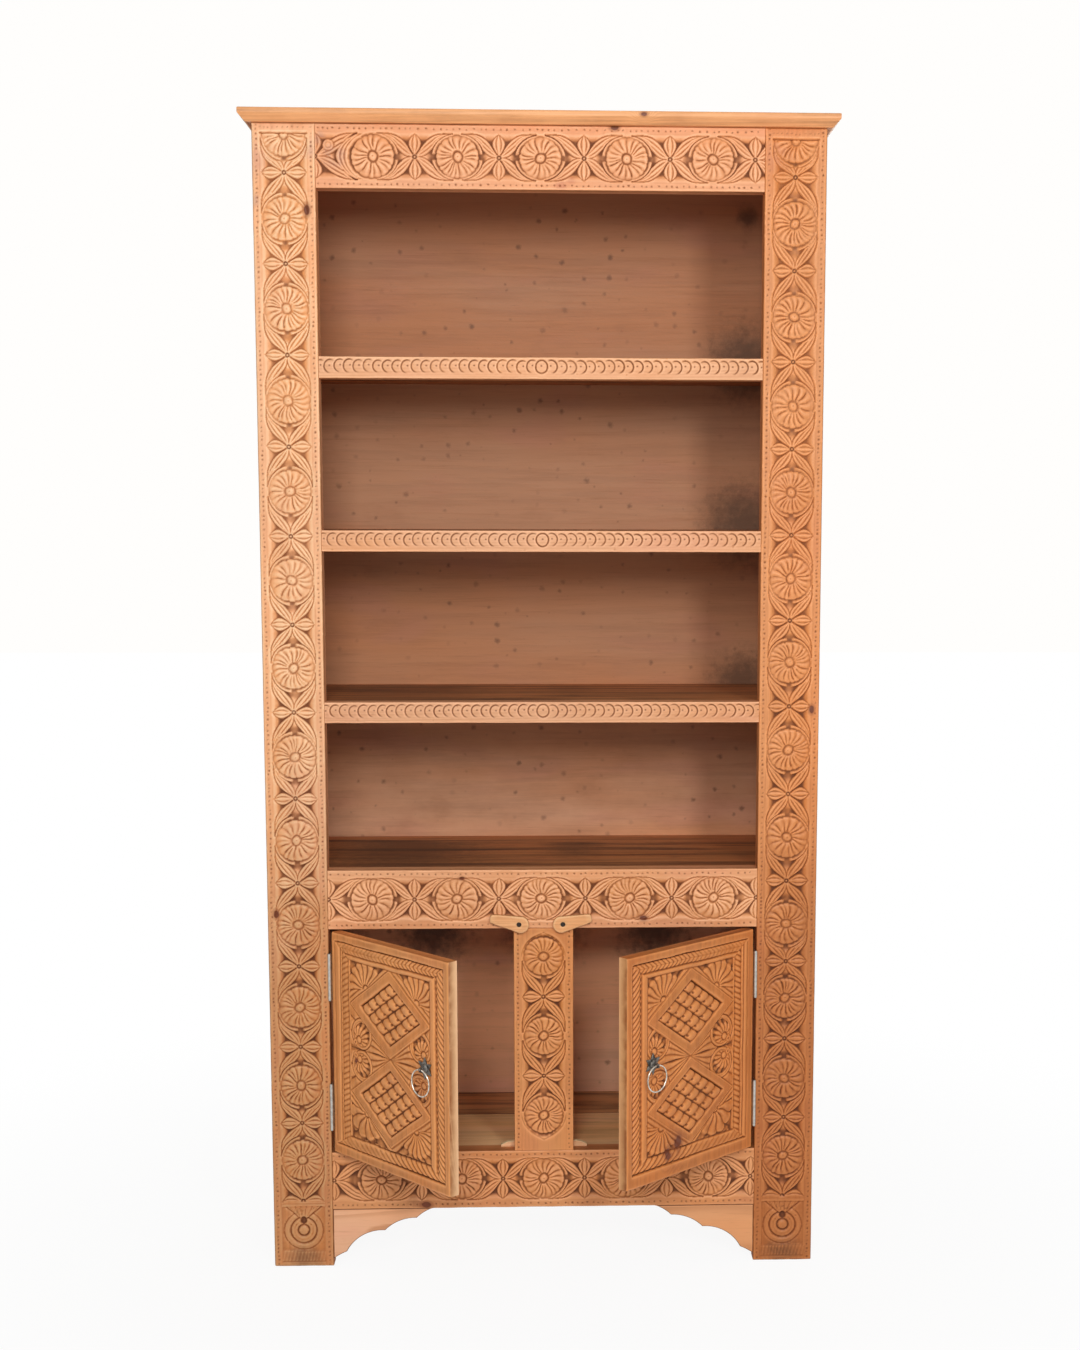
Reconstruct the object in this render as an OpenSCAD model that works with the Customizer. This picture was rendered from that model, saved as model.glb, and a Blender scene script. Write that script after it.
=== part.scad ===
// Carved wooden bookcase: four open bays over a cupboard with two hinged doors.
// The front looks towards -Y, and left and right are as seen from the front.
// The origin is on the floor, under the middle of the whole object with its doors ajar.
// Left-hand pieces are drawn in place and right-hand ones are their mirror image.

/* [Front frame] */
// Width over the two stiles
frame_w = 900; // [780:1:1100]
// Width of each stile
stile_w = 98; // [85:1:120]
// Height of the frieze, middle and bottom rails
rail_h = 98; // [85:1:120]
// Thickness of stiles, rails, post and shelf edges
frame_t = 28; // [24:1:34]
// Width of the post between the doors
post_w = 98; // [90:1:120]
// Floor to the underside of the bottom rail
leg_h = 98; // [92:1:140]
// Height of the opening behind the doors
door_open_h = 378; // [320:1:460]
// Clear height between the deck and the lower shelf edge
first_bay_h = 242; // [180:1:320]
// Clear height between the lower and middle shelves
second_bay_h = 242; // [180:1:320]
// Clear height between the middle and upper shelves
third_bay_h = 239; // [180:1:320]
// Clear height between the upper shelf and the frieze
top_bay_h = 258; // [180:1:340]

/* [Base brackets] */
// Reach of each scalloped bracket from the stile
bracket_w = 167; // [150:1:200]
// Depth of each bracket below the bottom rail
bracket_h = 86; // [74:1:90]
// Thickness of each bracket
bracket_t = 20; // [15:1:24]
// Step back from the front of the frame to the brackets
bracket_setback = 0.5; // [0:0.5:4]
// Width of the toe at the bracket's foot
toe_w = 22; // [12:1:28]
// Rise of the toe's underside
toe_h = 12; // [6:1:14]
// Width of the large scallop
big_scallop_w = 64; // [50:1:70]
// Rise of the large scallop
big_scallop_h = 36; // [30:1:38]
// Width of the small scallop
small_scallop_w = 53; // [30:1:55]
// Rise of the small scallop
small_scallop_h = 21; // [14:1:22]

/* [Case] */
// Front face of the frame to the rear face of the back panel
case_d = 336; // [280:1:420]
// Thickness of each side panel
side_t = 18; // [16:1:24]
// Step from the stile's outer edge in to the side panel
side_inset = 4; // [2:0.5:8]
// Thickness of the back panel
back_t = 10; // [6:1:14]
// Thickness of the deck and of the three shelf boards
shelf_t = 20; // [16:1:26]
// Height of the carved shelf edges
shelf_edge_h = 34; // [28:1:45]
// Thickness of the cupboard's two floor planks
floor_t = 18; // [14:1:24]
// Step from the bottom rail's top down to the cupboard floor
floor_drop = 3; // [0:0.5:8]
// Depth of the front floor plank
front_plank_d = 170; // [120:1:210]

/* [Top] */
// Thickness of the top board and the cornice around it
top_t = 20; // [16:1:26]
// Reach of the cornice past the frame and side panels
cornice_overhang = 19; // [14:1:30]
// Width of the flat underside of the cornice
cornice_soffit = 8; // [4:1:12]
// Height of the upright edge above the cornice's bevel
cornice_edge_h = 8.5; // [5:0.5:12]

/* [Doors] */
// Thickness of each door
door_t = 18; // [16:1:22]
// Gap around each door when it is shut
door_gap = 3; // [2.8:0.1:4]
// Angle at which the left door stands open
left_door_angle = 47; // [10:1:110]
// Angle at which the right door stands open
right_door_angle = 43; // [10:1:110]

/* [Hinges] */
// Length of each butt hinge
hinge_len = 76; // [60:1:90]
// End of the door to the near end of the hinge
hinge_inset = 38; // [25:1:50]
// Width of each hinge leaf on the wood
leaf_w = 16; // [14:0.5:16]
// Thickness of each hinge leaf
leaf_t = 1.3; // [1:0.05:1.35]
// Diameter of the hinge barrel
barrel_d = 6; // [5.5:0.1:7]
// Diameter of the hinge pin
hinge_pin_d = 3; // [2.5:0.1:3.4]
// Screws in each hinge leaf
leaf_screws = 3; // [2:1:4]

/* [Ring pulls] */
// Free edge of the door to the middle of the pull
pull_inset = 57; // [45:1:75]
// Middle of the door's height up to the pull
pull_rise = 8; // [-20:1:30]
// Diameter across the points of the star plate
star_d = 37; // [34:1:42]
// Thickness of the star plate
star_t = 1.6; // [1.2:0.1:2.2]
// Height of the boss on the star plate
boss_h = 3.8; // [3:0.1:4.4]
// Diameter of the boss
boss_d = 15; // [13:0.5:17]
// Outer diameter of the ring
ring_d = 45; // [38:1:52]
// Diameter of the ring's wire
ring_wire_d = 2.6; // [2:0.1:3]
// Face of the door to the middle of the ring's eye
eye_reach = 10; // [9.5:0.5:14]
// Outer diameter of the eye
eye_d = 7.2; // [6.8:0.1:7.4]
// Diameter of the hole in the eye
eye_hole_d = 4.2; // [3.8:0.1:4.6]
// Width of the eye along its hole
eye_w = 2.6; // [2:0.1:3.4]
// Diameter of the eye's shank
shank_d = 3.2; // [2.6:0.1:3.6]
// Length of each of the shank's two clinched tails
tail_len = 11; // [8:1:16]

/* [Turn buttons] */
// Length of each turn button
button_len = 65; // [58:1:68]
// Width of the button's round end
button_w = 28; // [24:1:30]
// Width of the button's tip
button_tip_w = 14; // [10:1:18]
// Thickness of each turn button
button_t = 9; // [8:0.5:12]
// Round end of the button to its pivot
button_pivot_inset = 16.5; // [14:0.5:18]
// Underside of the middle rail up to the pivots
button_rise = 8; // [6:1:14]
// Middle of the post to the left button's pivot
left_button_x = 40; // [38:1:44]
// Middle of the post to the right button's pivot
right_button_x = 32; // [31:1:36]
// Upward tilt of both buttons as they stand
button_tilt = 12.5; // [0:0.5:30]
// Diameter of the button screw's head
button_head_d = 7; // [6:0.1:8]
// Diameter of the button screw's shank
button_screw_d = 4; // [3:0.1:4.5]

/* [Door stops] */
// Length of each wedge stop at the foot of the post
stop_w = 23; // [16:1:30]
// Height of each stop at its thick end
stop_h = 10; // [6:1:14]
// Height of each stop at its thin end
stop_tip_h = 4; // [2:0.5:6]

/* [Joints and fasteners] */
// Length of the rails' tenons
tenon_len = 40; // [30:1:45]
// Thickness of all tenons
tenon_t = 9; // [7:1:10]
// Shoulder above and below each rail tenon
tenon_shoulder = 12; // [8:1:20]
// Length of the post's stub tenons
stub_len = 20; // [12:1:26]
// Width of the post's stub tenons
stub_w = 46; // [36:1:50]
// Depth of the housings that carry shelves and floor
housing_d = 7; // [4:0.5:9]
// Thickness of the side panel's tongue
tongue_t = 8; // [5:0.5:10]
// Length of the side panel's tongue
tongue_len = 8; // [5:0.5:12]
// Width of the rebate that takes the back panel
rebate_w = 9; // [7:0.5:11]
// Nails along each side of the back panel in every bay
bay_nails = 2; // [1:1:3]
// Nails along each side of the top board
top_nails = 3; // [2:1:5]
// Ends of the side panels in to the first of the top board's nails
top_nail_inset = 30; // [15:1:60]
// Diameter of the nails
nail_d = 2.2; // [1.8:0.1:2.8]
// Length of the nails
nail_len = 38; // [30:1:45]
// Diameter of the nail heads
nail_head_d = 5; // [4:0.1:6]
// Diameter of the hinge screws' shanks
hinge_screw_d = 2.8; // [2.4:0.1:3.2]
// Diameter of the hinge screws' heads
hinge_head_d = 5.6; // [5:0.1:6.4]
// Length of the hinge screws
hinge_screw_len = 16; // [12:1:20]

/* [Fits] */
// Clearance around a glued or housed joint
joint_gap = 0.2; // [0.1:0.05:0.4]
// Radial clearance of a fastener in its hole
hole_gap = 0.05; // [0.02:0.01:0.1]
// Radial clearance of a pin or pivot that turns
running_gap = 0.05; // [0.02:0.01:0.08]
// Clearance between the faces of pieces that move past each other
face_gap = 0.4; // [0.3:0.05:0.8]

/* [Hidden] */

// Fineness of round shapes
round_fn = 48;
// Overshoot of every cut past the face that it opens
over = 1;

// Widths, measured from the middle of the bookcase
half_w = frame_w / 2;
open_half = half_w - stile_w;
side_out = half_w - side_inset;
side_in = side_out - side_t;
side_mid = (side_out + side_in) / 2;
rebate_out = side_in + rebate_w;

// Levels above the floor
bottom_rail_z = leg_h;
cupboard_z = bottom_rail_z + rail_h;
mid_rail_z = cupboard_z + door_open_h;
deck_z = mid_rail_z + rail_h;
lower_shelf_z = deck_z + first_bay_h + shelf_edge_h;
middle_shelf_z = lower_shelf_z + second_bay_h + shelf_edge_h;
upper_shelf_z = middle_shelf_z + third_bay_h + shelf_edge_h;
frieze_z = upper_shelf_z + top_bay_h;
frame_h = frieze_z + rail_h;
floor_z = cupboard_z - floor_drop;

// Doors and hinges: the hinge axis stands just in front of the frame's face,
// over the middle of the gap between stile and door
barrel_r = barrel_d / 2;
hinge_pin_r = hinge_pin_d / 2;
hinge_proud = barrel_r + 0.1;
hinge_x = open_half - door_gap / 2;
door_w = open_half - post_w / 2 - 2 * door_gap;
door_h = door_open_h - 2 * door_gap;
door_z = cupboard_z + door_gap;
door_far_x = door_gap / 2 + door_w;
upper_hinge_z = door_z + door_h - hinge_inset - hinge_len;
lower_hinge_z = door_z + hinge_inset;
knuckle_h = hinge_len / 3;

// Ring pull, in the frame of a shut door whose hinge axis is the Z axis
pull_x = door_far_x - pull_inset;
pull_z = door_z + door_h / 2 + pull_rise;
wire_r = ring_wire_d / 2;
ring_mid_r = ring_d / 2 - wire_r;
eye_y = hinge_proud - eye_reach;
ring_drop = (eye_hole_d - ring_wire_d) / 2 - face_gap;

// How far a door and its ring stand out in front of the frame at an opening angle
function door_reach(angle) =
    hinge_proud + door_far_x * sin(angle) - hinge_proud * cos(angle);
function ring_reach(angle) =
    hinge_proud + (pull_x + ring_mid_r) * sin(angle) - eye_y * cos(angle) + wire_r;
front_reach = max(cornice_overhang, door_reach(left_door_angle), door_reach(right_door_angle),
    ring_reach(left_door_angle), ring_reach(right_door_angle));

// Depths: the whole object, doors included, is centred on the origin
front_y = (front_reach - case_d) / 2;
inner_y = front_y + frame_t;
back_y = front_y + case_d;
panel_y = back_y - back_t;
hinge_y = front_y - hinge_proud;
tenon_y = front_y + (frame_t - tenon_t) / 2;

// Colours
carved_wood = "#D79B6C";
plain_wood = "#C98F5E";
inner_wood = "#8A5A3C";
back_wood = "#7C5238";
steel = "#B9B7B2";
iron = "#6E6C69";

// ---- Helpers ----

// A box between two corners
module block(low, high) {
    translate(low) cube(high - low);
}

// A board between the side panels whose ends sit in their housings
module housed_board(low_y, high_y, top, thick) {
    end_x = side_in + housing_d - joint_gap;
    block([-end_x, low_y, top - thick], [end_x, high_y, top]);
}

// Points along an arc from p to q, bulging to the left of the way from p to q
function arc(p, q, bulge, steps = 10) =
    let (chord = norm(q - p), radius = (chord * chord / 4 + bulge * bulge) / (2 * bulge),
         along = (q - p) / chord, left = [-along[1], along[0]],
         middle = (p + q) / 2 - left * (radius - bulge), half = asin(chord / 2 / radius))
    [for (i = [0 : steps - 1]) let (a = -half + 2 * half * i / steps)
        middle + radius * (sin(a) * along + cos(a) * left)];

// Moves a door's piece, drawn shut with its hinge axis on the Z axis, to its open place
module hung(angle) {
    translate([-hinge_x, hinge_y, 0]) rotate([0, 0, -angle]) children();
}

// Nail standing on its point, with the top of its head at Z = 0
module nail() {
    translate([0, 0, -nail_len]) cylinder(d = nail_d, h = nail_len, $fn = round_fn);
    translate([0, 0, -1]) cylinder(d = nail_head_d, h = 1, $fn = round_fn);
}

// Room for a nail
module nail_hole() {
    translate([0, 0, -nail_len - 1])
        cylinder(d = nail_d + 2 * hole_gap, h = nail_len + 1 + over, $fn = round_fn);
    translate([0, 0, -1])
        cylinder(d = nail_head_d + 2 * hole_gap, h = 1 + over, $fn = round_fn);
}

// Places of the back panel's nails, clear of the boards between the bays,
// with Z pointing out of the panel
module at_back_nails() {
    tops = [floor_z, deck_z, lower_shelf_z, middle_shelf_z, upper_shelf_z, frame_h + shelf_t];
    for (bay = [0 : len(tops) - 2], side = [-1, 1], i = [0 : bay_nails - 1])
        let (clear_h = tops[bay + 1] - shelf_t - tops[bay])
            translate([side * (side_in + rebate_w / 2), back_y,
                       tops[bay] + clear_h * (i + 0.5) / bay_nails])
                rotate([-90, 0, 0]) children();
}

// Places of the top board's nails
module at_top_nails() {
    first = inner_y + top_nail_inset;
    step = (panel_y - top_nail_inset - first) / (top_nails - 1);
    for (side = [-1, 1], i = [0 : top_nails - 1])
        translate([side * side_mid, first + i * step, frame_h + top_t]) children();
    for (x = [-open_half / 2, 0, open_half / 2])
        translate([x, front_y + frame_t / 2, frame_h + top_t]) children();
}

// Places of one leaf's screws on the hinge that starts at z; Z points out of the wood
module at_leaf_screws(z, side) {
    for (i = [0 : leaf_screws - 1])
        translate([side * (door_gap / 2 - leaf_t), hinge_proud + leaf_w / 2,
                   z + hinge_len * (i + 0.5) / leaf_screws])
            rotate([0, -90 * side, 0]) children();
}

// Countersunk screw with its flat head's top at Z = 0
module hinge_screw(gap = 0) {
    translate([0, 0, -hinge_screw_len - gap])
        cylinder(d = hinge_screw_d + 2 * gap, h = hinge_screw_len + gap, $fn = round_fn);
    translate([0, 0, -leaf_t])
        cylinder(d1 = hinge_screw_d + 2 * gap, d2 = hinge_head_d + 2 * gap, h = leaf_t,
                 $fn = round_fn);
}

// ---- Front frame ----

// Mortise in the left stile for a rail tenon
module rail_mortise(z) {
    block([-open_half - tenon_len - joint_gap, tenon_y - joint_gap, z + tenon_shoulder - joint_gap],
          [-open_half + over, tenon_y + tenon_t + joint_gap,
           z + rail_h - tenon_shoulder + joint_gap]);
}

module stile() {
    groove_x = -side_mid - tongue_t / 2;
    difference() {
        block([-half_w, front_y, 0], [-open_half, inner_y, frame_h]);
        for (z = [bottom_rail_z, mid_rail_z, frieze_z]) rail_mortise(z);
        block([groove_x - joint_gap, inner_y - tongue_len - joint_gap, -over],
              [groove_x + tongue_t + joint_gap, inner_y + over, frame_h + over]);
        translate([-hinge_x, hinge_y, 0]) for (z = [upper_hinge_z, lower_hinge_z])
            at_leaf_screws(z, -1) hinge_screw(hole_gap);
    }
}

// Rail between the stiles, from z up, with a tenon at each end
module rail(z) {
    block([-open_half, front_y, z], [open_half, inner_y, z + rail_h]);
    block([-open_half - tenon_len, tenon_y, z + tenon_shoulder],
          [open_half + tenon_len, tenon_y + tenon_t, z + rail_h - tenon_shoulder]);
}

// Mortise for the post's stub tenon, from z up
module stub_mortise(z) {
    block([-stub_w / 2 - joint_gap, tenon_y - joint_gap, z],
          [stub_w / 2 + joint_gap, tenon_y + tenon_t + joint_gap, z + stub_len + joint_gap + over]);
}

module left_stile() { color(carved_wood) stile(); }
module right_stile() { color(carved_wood) mirror([1, 0, 0]) stile(); }

module frieze_rail() {
    color(carved_wood) difference() {
        rail(frieze_z);
        at_top_nails() nail_hole();
    }
}

module mid_rail() {
    color(carved_wood) difference() {
        rail(mid_rail_z);
        stub_mortise(mid_rail_z - over);
        for (x = [-left_button_x, right_button_x]) translate([x, front_y, mid_rail_z + button_rise])
            rotate([90, 0, 0]) translate([0, 0, -button_screw_depth - 1])
                cylinder(d = button_screw_d + 2 * hole_gap, h = button_screw_depth + 1 + over,
                         $fn = round_fn);
    }
}

module bottom_rail() {
    color(carved_wood) difference() {
        rail(bottom_rail_z);
        stub_mortise(cupboard_z - stub_len - joint_gap);
    }
}

// Outline of the left bracket in X and Z, from the rail's underside at the stile
function bracket_edge() =
    let (foot = [0, -bracket_h], toe = foot + [toe_w, toe_h],
         low = toe + [big_scallop_w, big_scallop_h], high = low + [small_scallop_w, small_scallop_h],
         end = [bracket_w, 0])
    concat([[0, 0]], arc(foot, toe, 0.8, 4), arc(toe, low, 11), arc(low, high, 6),
           arc(high, end, 2, 6), [end]);

module bracket() {
    translate([-open_half, front_y + bracket_setback + bracket_t, bottom_rail_z])
        rotate([90, 0, 0]) linear_extrude(bracket_t) polygon(bracket_edge());
}

module left_bracket() { color(plain_wood) bracket(); }
module right_bracket() { color(plain_wood) mirror([1, 0, 0]) bracket(); }

module centre_post() {
    color(carved_wood) {
        block([-post_w / 2, front_y, cupboard_z], [post_w / 2, inner_y, mid_rail_z]);
        block([-stub_w / 2, tenon_y, cupboard_z - stub_len],
              [stub_w / 2, tenon_y + tenon_t, mid_rail_z + stub_len]);
    }
}

// ---- Case ----

module side_panel() {
    tongue_x = -side_mid - tongue_t / 2;
    difference() {
        union() {
            block([-side_out, inner_y, 0], [-side_in, back_y, frame_h]);
            block([tongue_x, inner_y - tongue_len, 0], [tongue_x + tongue_t, inner_y + over, frame_h]);
        }
        block([-rebate_out, panel_y, leg_h], [-side_in + over, back_y + over, frame_h + over]);
        for (board = [[deck_z, shelf_t], [lower_shelf_z, shelf_t], [middle_shelf_z, shelf_t],
                      [upper_shelf_z, shelf_t], [floor_z, floor_t]])
            block([-side_in - housing_d, inner_y - over, board[0] - board[1]],
                  [-side_in + over, panel_y + over, board[0] + joint_gap]);
        at_back_nails() nail_hole();
        at_top_nails() nail_hole();
    }
}

module left_side_panel() { color(plain_wood) side_panel(); }
module right_side_panel() { color(plain_wood) mirror([1, 0, 0]) side_panel(); }

module back_panel() {
    color(back_wood) difference() {
        block([-rebate_out + joint_gap, panel_y, leg_h], [rebate_out - joint_gap, back_y, frame_h]);
        at_back_nails() nail_hole();
    }
}

module deck_board() { color(inner_wood) housed_board(inner_y, panel_y, deck_z, shelf_t); }
module lower_shelf() { color(inner_wood) housed_board(inner_y, panel_y, lower_shelf_z, shelf_t); }
module middle_shelf() { color(inner_wood) housed_board(inner_y, panel_y, middle_shelf_z, shelf_t); }
module upper_shelf() { color(inner_wood) housed_board(inner_y, panel_y, upper_shelf_z, shelf_t); }

module floor_plank_front() {
    color(plain_wood) housed_board(inner_y, inner_y + front_plank_d, floor_z, floor_t);
}

module floor_plank_back() {
    color(inner_wood)
        housed_board(inner_y + front_plank_d + joint_gap, panel_y, floor_z, floor_t);
}

// Carved edge in front of the shelf whose top is at z
module shelf_edge(z) {
    color(carved_wood)
        block([-open_half, front_y, z - shelf_edge_h], [open_half, inner_y, z]);
}

module lower_shelf_edge() { shelf_edge(lower_shelf_z); }
module middle_shelf_edge() { shelf_edge(middle_shelf_z); }
module upper_shelf_edge() { shelf_edge(upper_shelf_z); }

// ---- Top ----

module top_board() {
    color(plain_wood) difference() {
        block([-half_w, front_y, frame_h], [half_w, back_y, frame_h + top_t]);
        at_top_nails() nail_hole();
    }
}

// Section of the cornice: X points out from the board's edge and Y up
module cornice_section() {
    polygon([[0, 0], [cornice_soffit, 0], [cornice_overhang, top_t - cornice_edge_h],
             [cornice_overhang, top_t], [0, top_t]]);
}

module cornice_front() {
    reach = half_w + cornice_overhang;
    color(plain_wood) intersection() {
        translate([-reach, front_y, frame_h]) rotate([0, 0, -90]) rotate([90, 0, 0])
            mirror([0, 0, 1]) linear_extrude(2 * reach) cornice_section();
        translate([0, 0, frame_h - over]) linear_extrude(top_t + 2 * over)
            polygon([[-reach, front_y - cornice_overhang], [reach, front_y - cornice_overhang],
                     [half_w, front_y], [-half_w, front_y]]);
    }
}

module cornice_side() {
    reach = half_w + cornice_overhang;
    color(plain_wood) intersection() {
        translate([-half_w, back_y, frame_h]) mirror([1, 0, 0]) rotate([90, 0, 0])
            linear_extrude(case_d + cornice_overhang) cornice_section();
        translate([0, 0, frame_h - over]) linear_extrude(top_t + 2 * over)
            polygon([[-reach, front_y - cornice_overhang], [-half_w, front_y],
                     [-half_w, back_y + over], [-reach, back_y + over]]);
    }
}

module cornice_left() { cornice_side(); }
module cornice_right() { mirror([1, 0, 0]) cornice_side(); }

// ---- Doors ----

module door() {
    difference() {
        block([door_gap / 2, hinge_proud, door_z],
              [door_far_x, hinge_proud + door_t, door_z + door_h]);
        for (z = [upper_hinge_z, lower_hinge_z]) at_leaf_screws(z, 1) hinge_screw(hole_gap);
        translate([pull_x, hinge_proud - over, pull_z]) rotate([-90, 0, 0])
            cylinder(d = shank_d + 2 * hole_gap, h = door_t + 2 * over, $fn = round_fn);
    }
}

module left_door() { color(carved_wood) hung(left_door_angle) door(); }
module right_door() { color(carved_wood) mirror([1, 0, 0]) hung(right_door_angle) door(); }

// ---- Hinges: drawn round a hinge axis on the Z axis, with the door shut ----

// A barrel knuckle from z up, with the bore left for later
module knuckle(z, height) {
    translate([0, 0, z]) cylinder(r = barrel_r, h = height, $fn = round_fn);
}

// Leaf of the hinge that starts at z. The frame's leaf has the two end knuckles and the
// door's leaf the middle one; side is -1 for the frame and 1 for the door
module leaf(z, side) {
    own = side < 0 ? [[0, knuckle_h - joint_gap], [2 * knuckle_h + joint_gap, knuckle_h - joint_gap]]
                   : [[knuckle_h + joint_gap, knuckle_h - 2 * joint_gap]];
    other = side < 0 ? [[knuckle_h - joint_gap, knuckle_h + 2 * joint_gap]]
                     : [[-over, knuckle_h + over + joint_gap],
                        [2 * knuckle_h - joint_gap, knuckle_h + over + joint_gap]];
    plate_x = side < 0 ? -door_gap / 2 : door_gap / 2 - leaf_t;
    difference() {
        union() {
            difference() {
                block([plate_x, 0, z], [plate_x + leaf_t, hinge_proud + leaf_w, z + hinge_len]);
                for (k = other) translate([0, 0, z + k[0]])
                    cylinder(r = barrel_r + face_gap, h = k[1], $fn = round_fn);
            }
            for (k = own) knuckle(z + k[0], k[1]);
        }
        translate([0, 0, z - over])
            cylinder(r = hinge_pin_r + running_gap, h = hinge_len + 2 * over, $fn = round_fn);
        at_leaf_screws(z, side) hinge_screw(hole_gap);
    }
}

// Pin with a flat button at each end
module hinge_pin(z) {
    translate([0, 0, z]) cylinder(r = hinge_pin_r, h = hinge_len, $fn = round_fn);
    for (end = [z - 1.4, z + hinge_len]) translate([0, 0, end])
        cylinder(r = barrel_r - 0.3, h = 1.4, $fn = round_fn);
}

module frame_leaf(z) { color(steel) hung(0) leaf(z, -1); }
module door_leaf(z, angle) { color(steel) hung(angle) leaf(z, 1); }
module pin(z) { color(steel) hung(0) hinge_pin(z); }

module left_upper_hinge_frame_leaf() { frame_leaf(upper_hinge_z); }
module left_upper_hinge_door_leaf() { door_leaf(upper_hinge_z, left_door_angle); }
module left_upper_hinge_pin() { pin(upper_hinge_z); }
module left_lower_hinge_frame_leaf() { frame_leaf(lower_hinge_z); }
module left_lower_hinge_door_leaf() { door_leaf(lower_hinge_z, left_door_angle); }
module left_lower_hinge_pin() { pin(lower_hinge_z); }
module right_upper_hinge_frame_leaf() { mirror([1, 0, 0]) frame_leaf(upper_hinge_z); }
module right_upper_hinge_door_leaf() { mirror([1, 0, 0]) door_leaf(upper_hinge_z, right_door_angle); }
module right_upper_hinge_pin() { mirror([1, 0, 0]) pin(upper_hinge_z); }
module right_lower_hinge_frame_leaf() { mirror([1, 0, 0]) frame_leaf(lower_hinge_z); }
module right_lower_hinge_door_leaf() { mirror([1, 0, 0]) door_leaf(lower_hinge_z, right_door_angle); }
module right_lower_hinge_pin() { mirror([1, 0, 0]) pin(lower_hinge_z); }

// The screws of both hinges' leaves on one side of the gap
module leaf_screw_set(side, angle) {
    color(steel) hung(angle) for (z = [upper_hinge_z, lower_hinge_z])
        at_leaf_screws(z, side) hinge_screw();
}

module left_frame_hinge_screws() { leaf_screw_set(-1, 0); }
module right_frame_hinge_screws() { mirror([1, 0, 0]) leaf_screw_set(-1, 0); }
module left_door_hinge_screws() { leaf_screw_set(1, left_door_angle); }
module right_door_hinge_screws() { mirror([1, 0, 0]) leaf_screw_set(1, right_door_angle); }

// ---- Ring pulls: drawn on a shut door whose hinge axis is the Z axis ----

// Six-pointed star plate with a round boss in its middle
module star_plate() {
    tip_r = star_d / 2;
    notch_r = tip_r * 0.52;
    translate([pull_x, hinge_proud, pull_z]) rotate([90, 0, 0]) difference() {
        union() {
            linear_extrude(star_t) polygon([for (i = [0 : 11])
                (i % 2 == 0 ? tip_r : notch_r) * [sin(30 * i), cos(30 * i)]]);
            rotate_extrude($fn = round_fn) polygon(concat([[0, 0]],
                [for (a = [0 : 15 : 90]) [boss_d / 2 * cos(a), star_t + boss_h * sin(a)]]));
        }
        translate([0, 0, -over])
            cylinder(d = shank_d + 2 * hole_gap, h = star_t + boss_h + 2 * over, $fn = round_fn);
    }
}

// Eye whose shank passes through plate and door and is clinched behind
module ring_eye() {
    back = hinge_proud + door_t;
    difference() {
        union() {
            translate([pull_x - eye_w / 2, eye_y, pull_z]) rotate([0, 90, 0])
                cylinder(d = eye_d, h = eye_w, $fn = round_fn);
            translate([pull_x, eye_y, pull_z]) rotate([-90, 0, 0])
                cylinder(d = shank_d, h = back + shank_d / 2 - eye_y, $fn = round_fn);
            block([pull_x - tail_len, back, pull_z - shank_d / 2],
                  [pull_x + tail_len, back + shank_d / 2, pull_z + shank_d / 2]);
        }
        translate([pull_x - eye_d, eye_y, pull_z]) rotate([0, 90, 0])
            cylinder(d = eye_hole_d, h = 2 * eye_d, $fn = round_fn);
    }
}

// Ring hanging low in the eye's hole
module pull_ring() {
    translate([pull_x, eye_y, pull_z - ring_drop - ring_mid_r]) rotate([90, 0, 0])
        rotate_extrude($fn = round_fn) translate([ring_mid_r, 0]) circle(r = wire_r, $fn = 24);
}

module left_star_plate() { color(iron) hung(left_door_angle) star_plate(); }
module left_ring_eye() { color(iron) hung(left_door_angle) ring_eye(); }
module left_pull_ring() { color(steel) hung(left_door_angle) pull_ring(); }
module right_star_plate() { color(iron) mirror([1, 0, 0]) hung(right_door_angle) star_plate(); }
module right_ring_eye() { color(iron) mirror([1, 0, 0]) hung(right_door_angle) ring_eye(); }
module right_pull_ring() { color(steel) mirror([1, 0, 0]) hung(right_door_angle) pull_ring(); }

// ---- Turn buttons ----

button_r = button_w / 2;
button_sink = button_t / 2;
button_head_h = 2.4;
button_screw_depth = 20;

// Places a turn button's pivot on the left of the post, with X along the button's arm
// and Z out of the rail's face
module at_pivot(distance) {
    translate([-distance, front_y, mid_rail_z + button_rise])
        rotate([90, 0, 0]) rotate([0, 0, 180 - button_tilt]) children();
}

// Tapered button with a round end, bored and counterbored for its screw
module turn_button() {
    reach = button_len - button_pivot_inset;
    end_x = button_r - button_pivot_inset;
    shoulder = button_r - 0.4;
    tip = button_tip_w / 2;
    translate([0, 0, face_gap]) difference() {
        union() {
            translate([end_x, 0, 0]) cylinder(r = button_r, h = button_t, $fn = round_fn);
            linear_extrude(button_t)
                polygon([[end_x, shoulder], [reach - 2, tip], [reach, tip - 2], [reach, 2 - tip],
                         [reach - 2, -tip], [end_x, -shoulder]]);
        }
        translate([0, 0, -over])
            cylinder(d = button_screw_d + 2 * running_gap, h = button_t + 2 * over, $fn = round_fn);
        translate([0, 0, button_t - button_sink])
            cylinder(d = button_head_d + 2 * face_gap, h = button_sink + over, $fn = round_fn);
    }
}

// Screw whose head sits in the button's counterbore, just clear of its floor
module button_screw() {
    head_z = face_gap + button_t - button_sink + face_gap / 2;
    translate([0, 0, -button_screw_depth])
        cylinder(d = button_screw_d, h = button_screw_depth + head_z + 0.5, $fn = round_fn);
    difference() {
        translate([0, 0, head_z]) cylinder(d = button_head_d, h = button_head_h, $fn = round_fn);
        translate([-button_head_d, -0.5, head_z + button_head_h - 1])
            cube([2 * button_head_d, 1, 1 + over]);
    }
}

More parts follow.
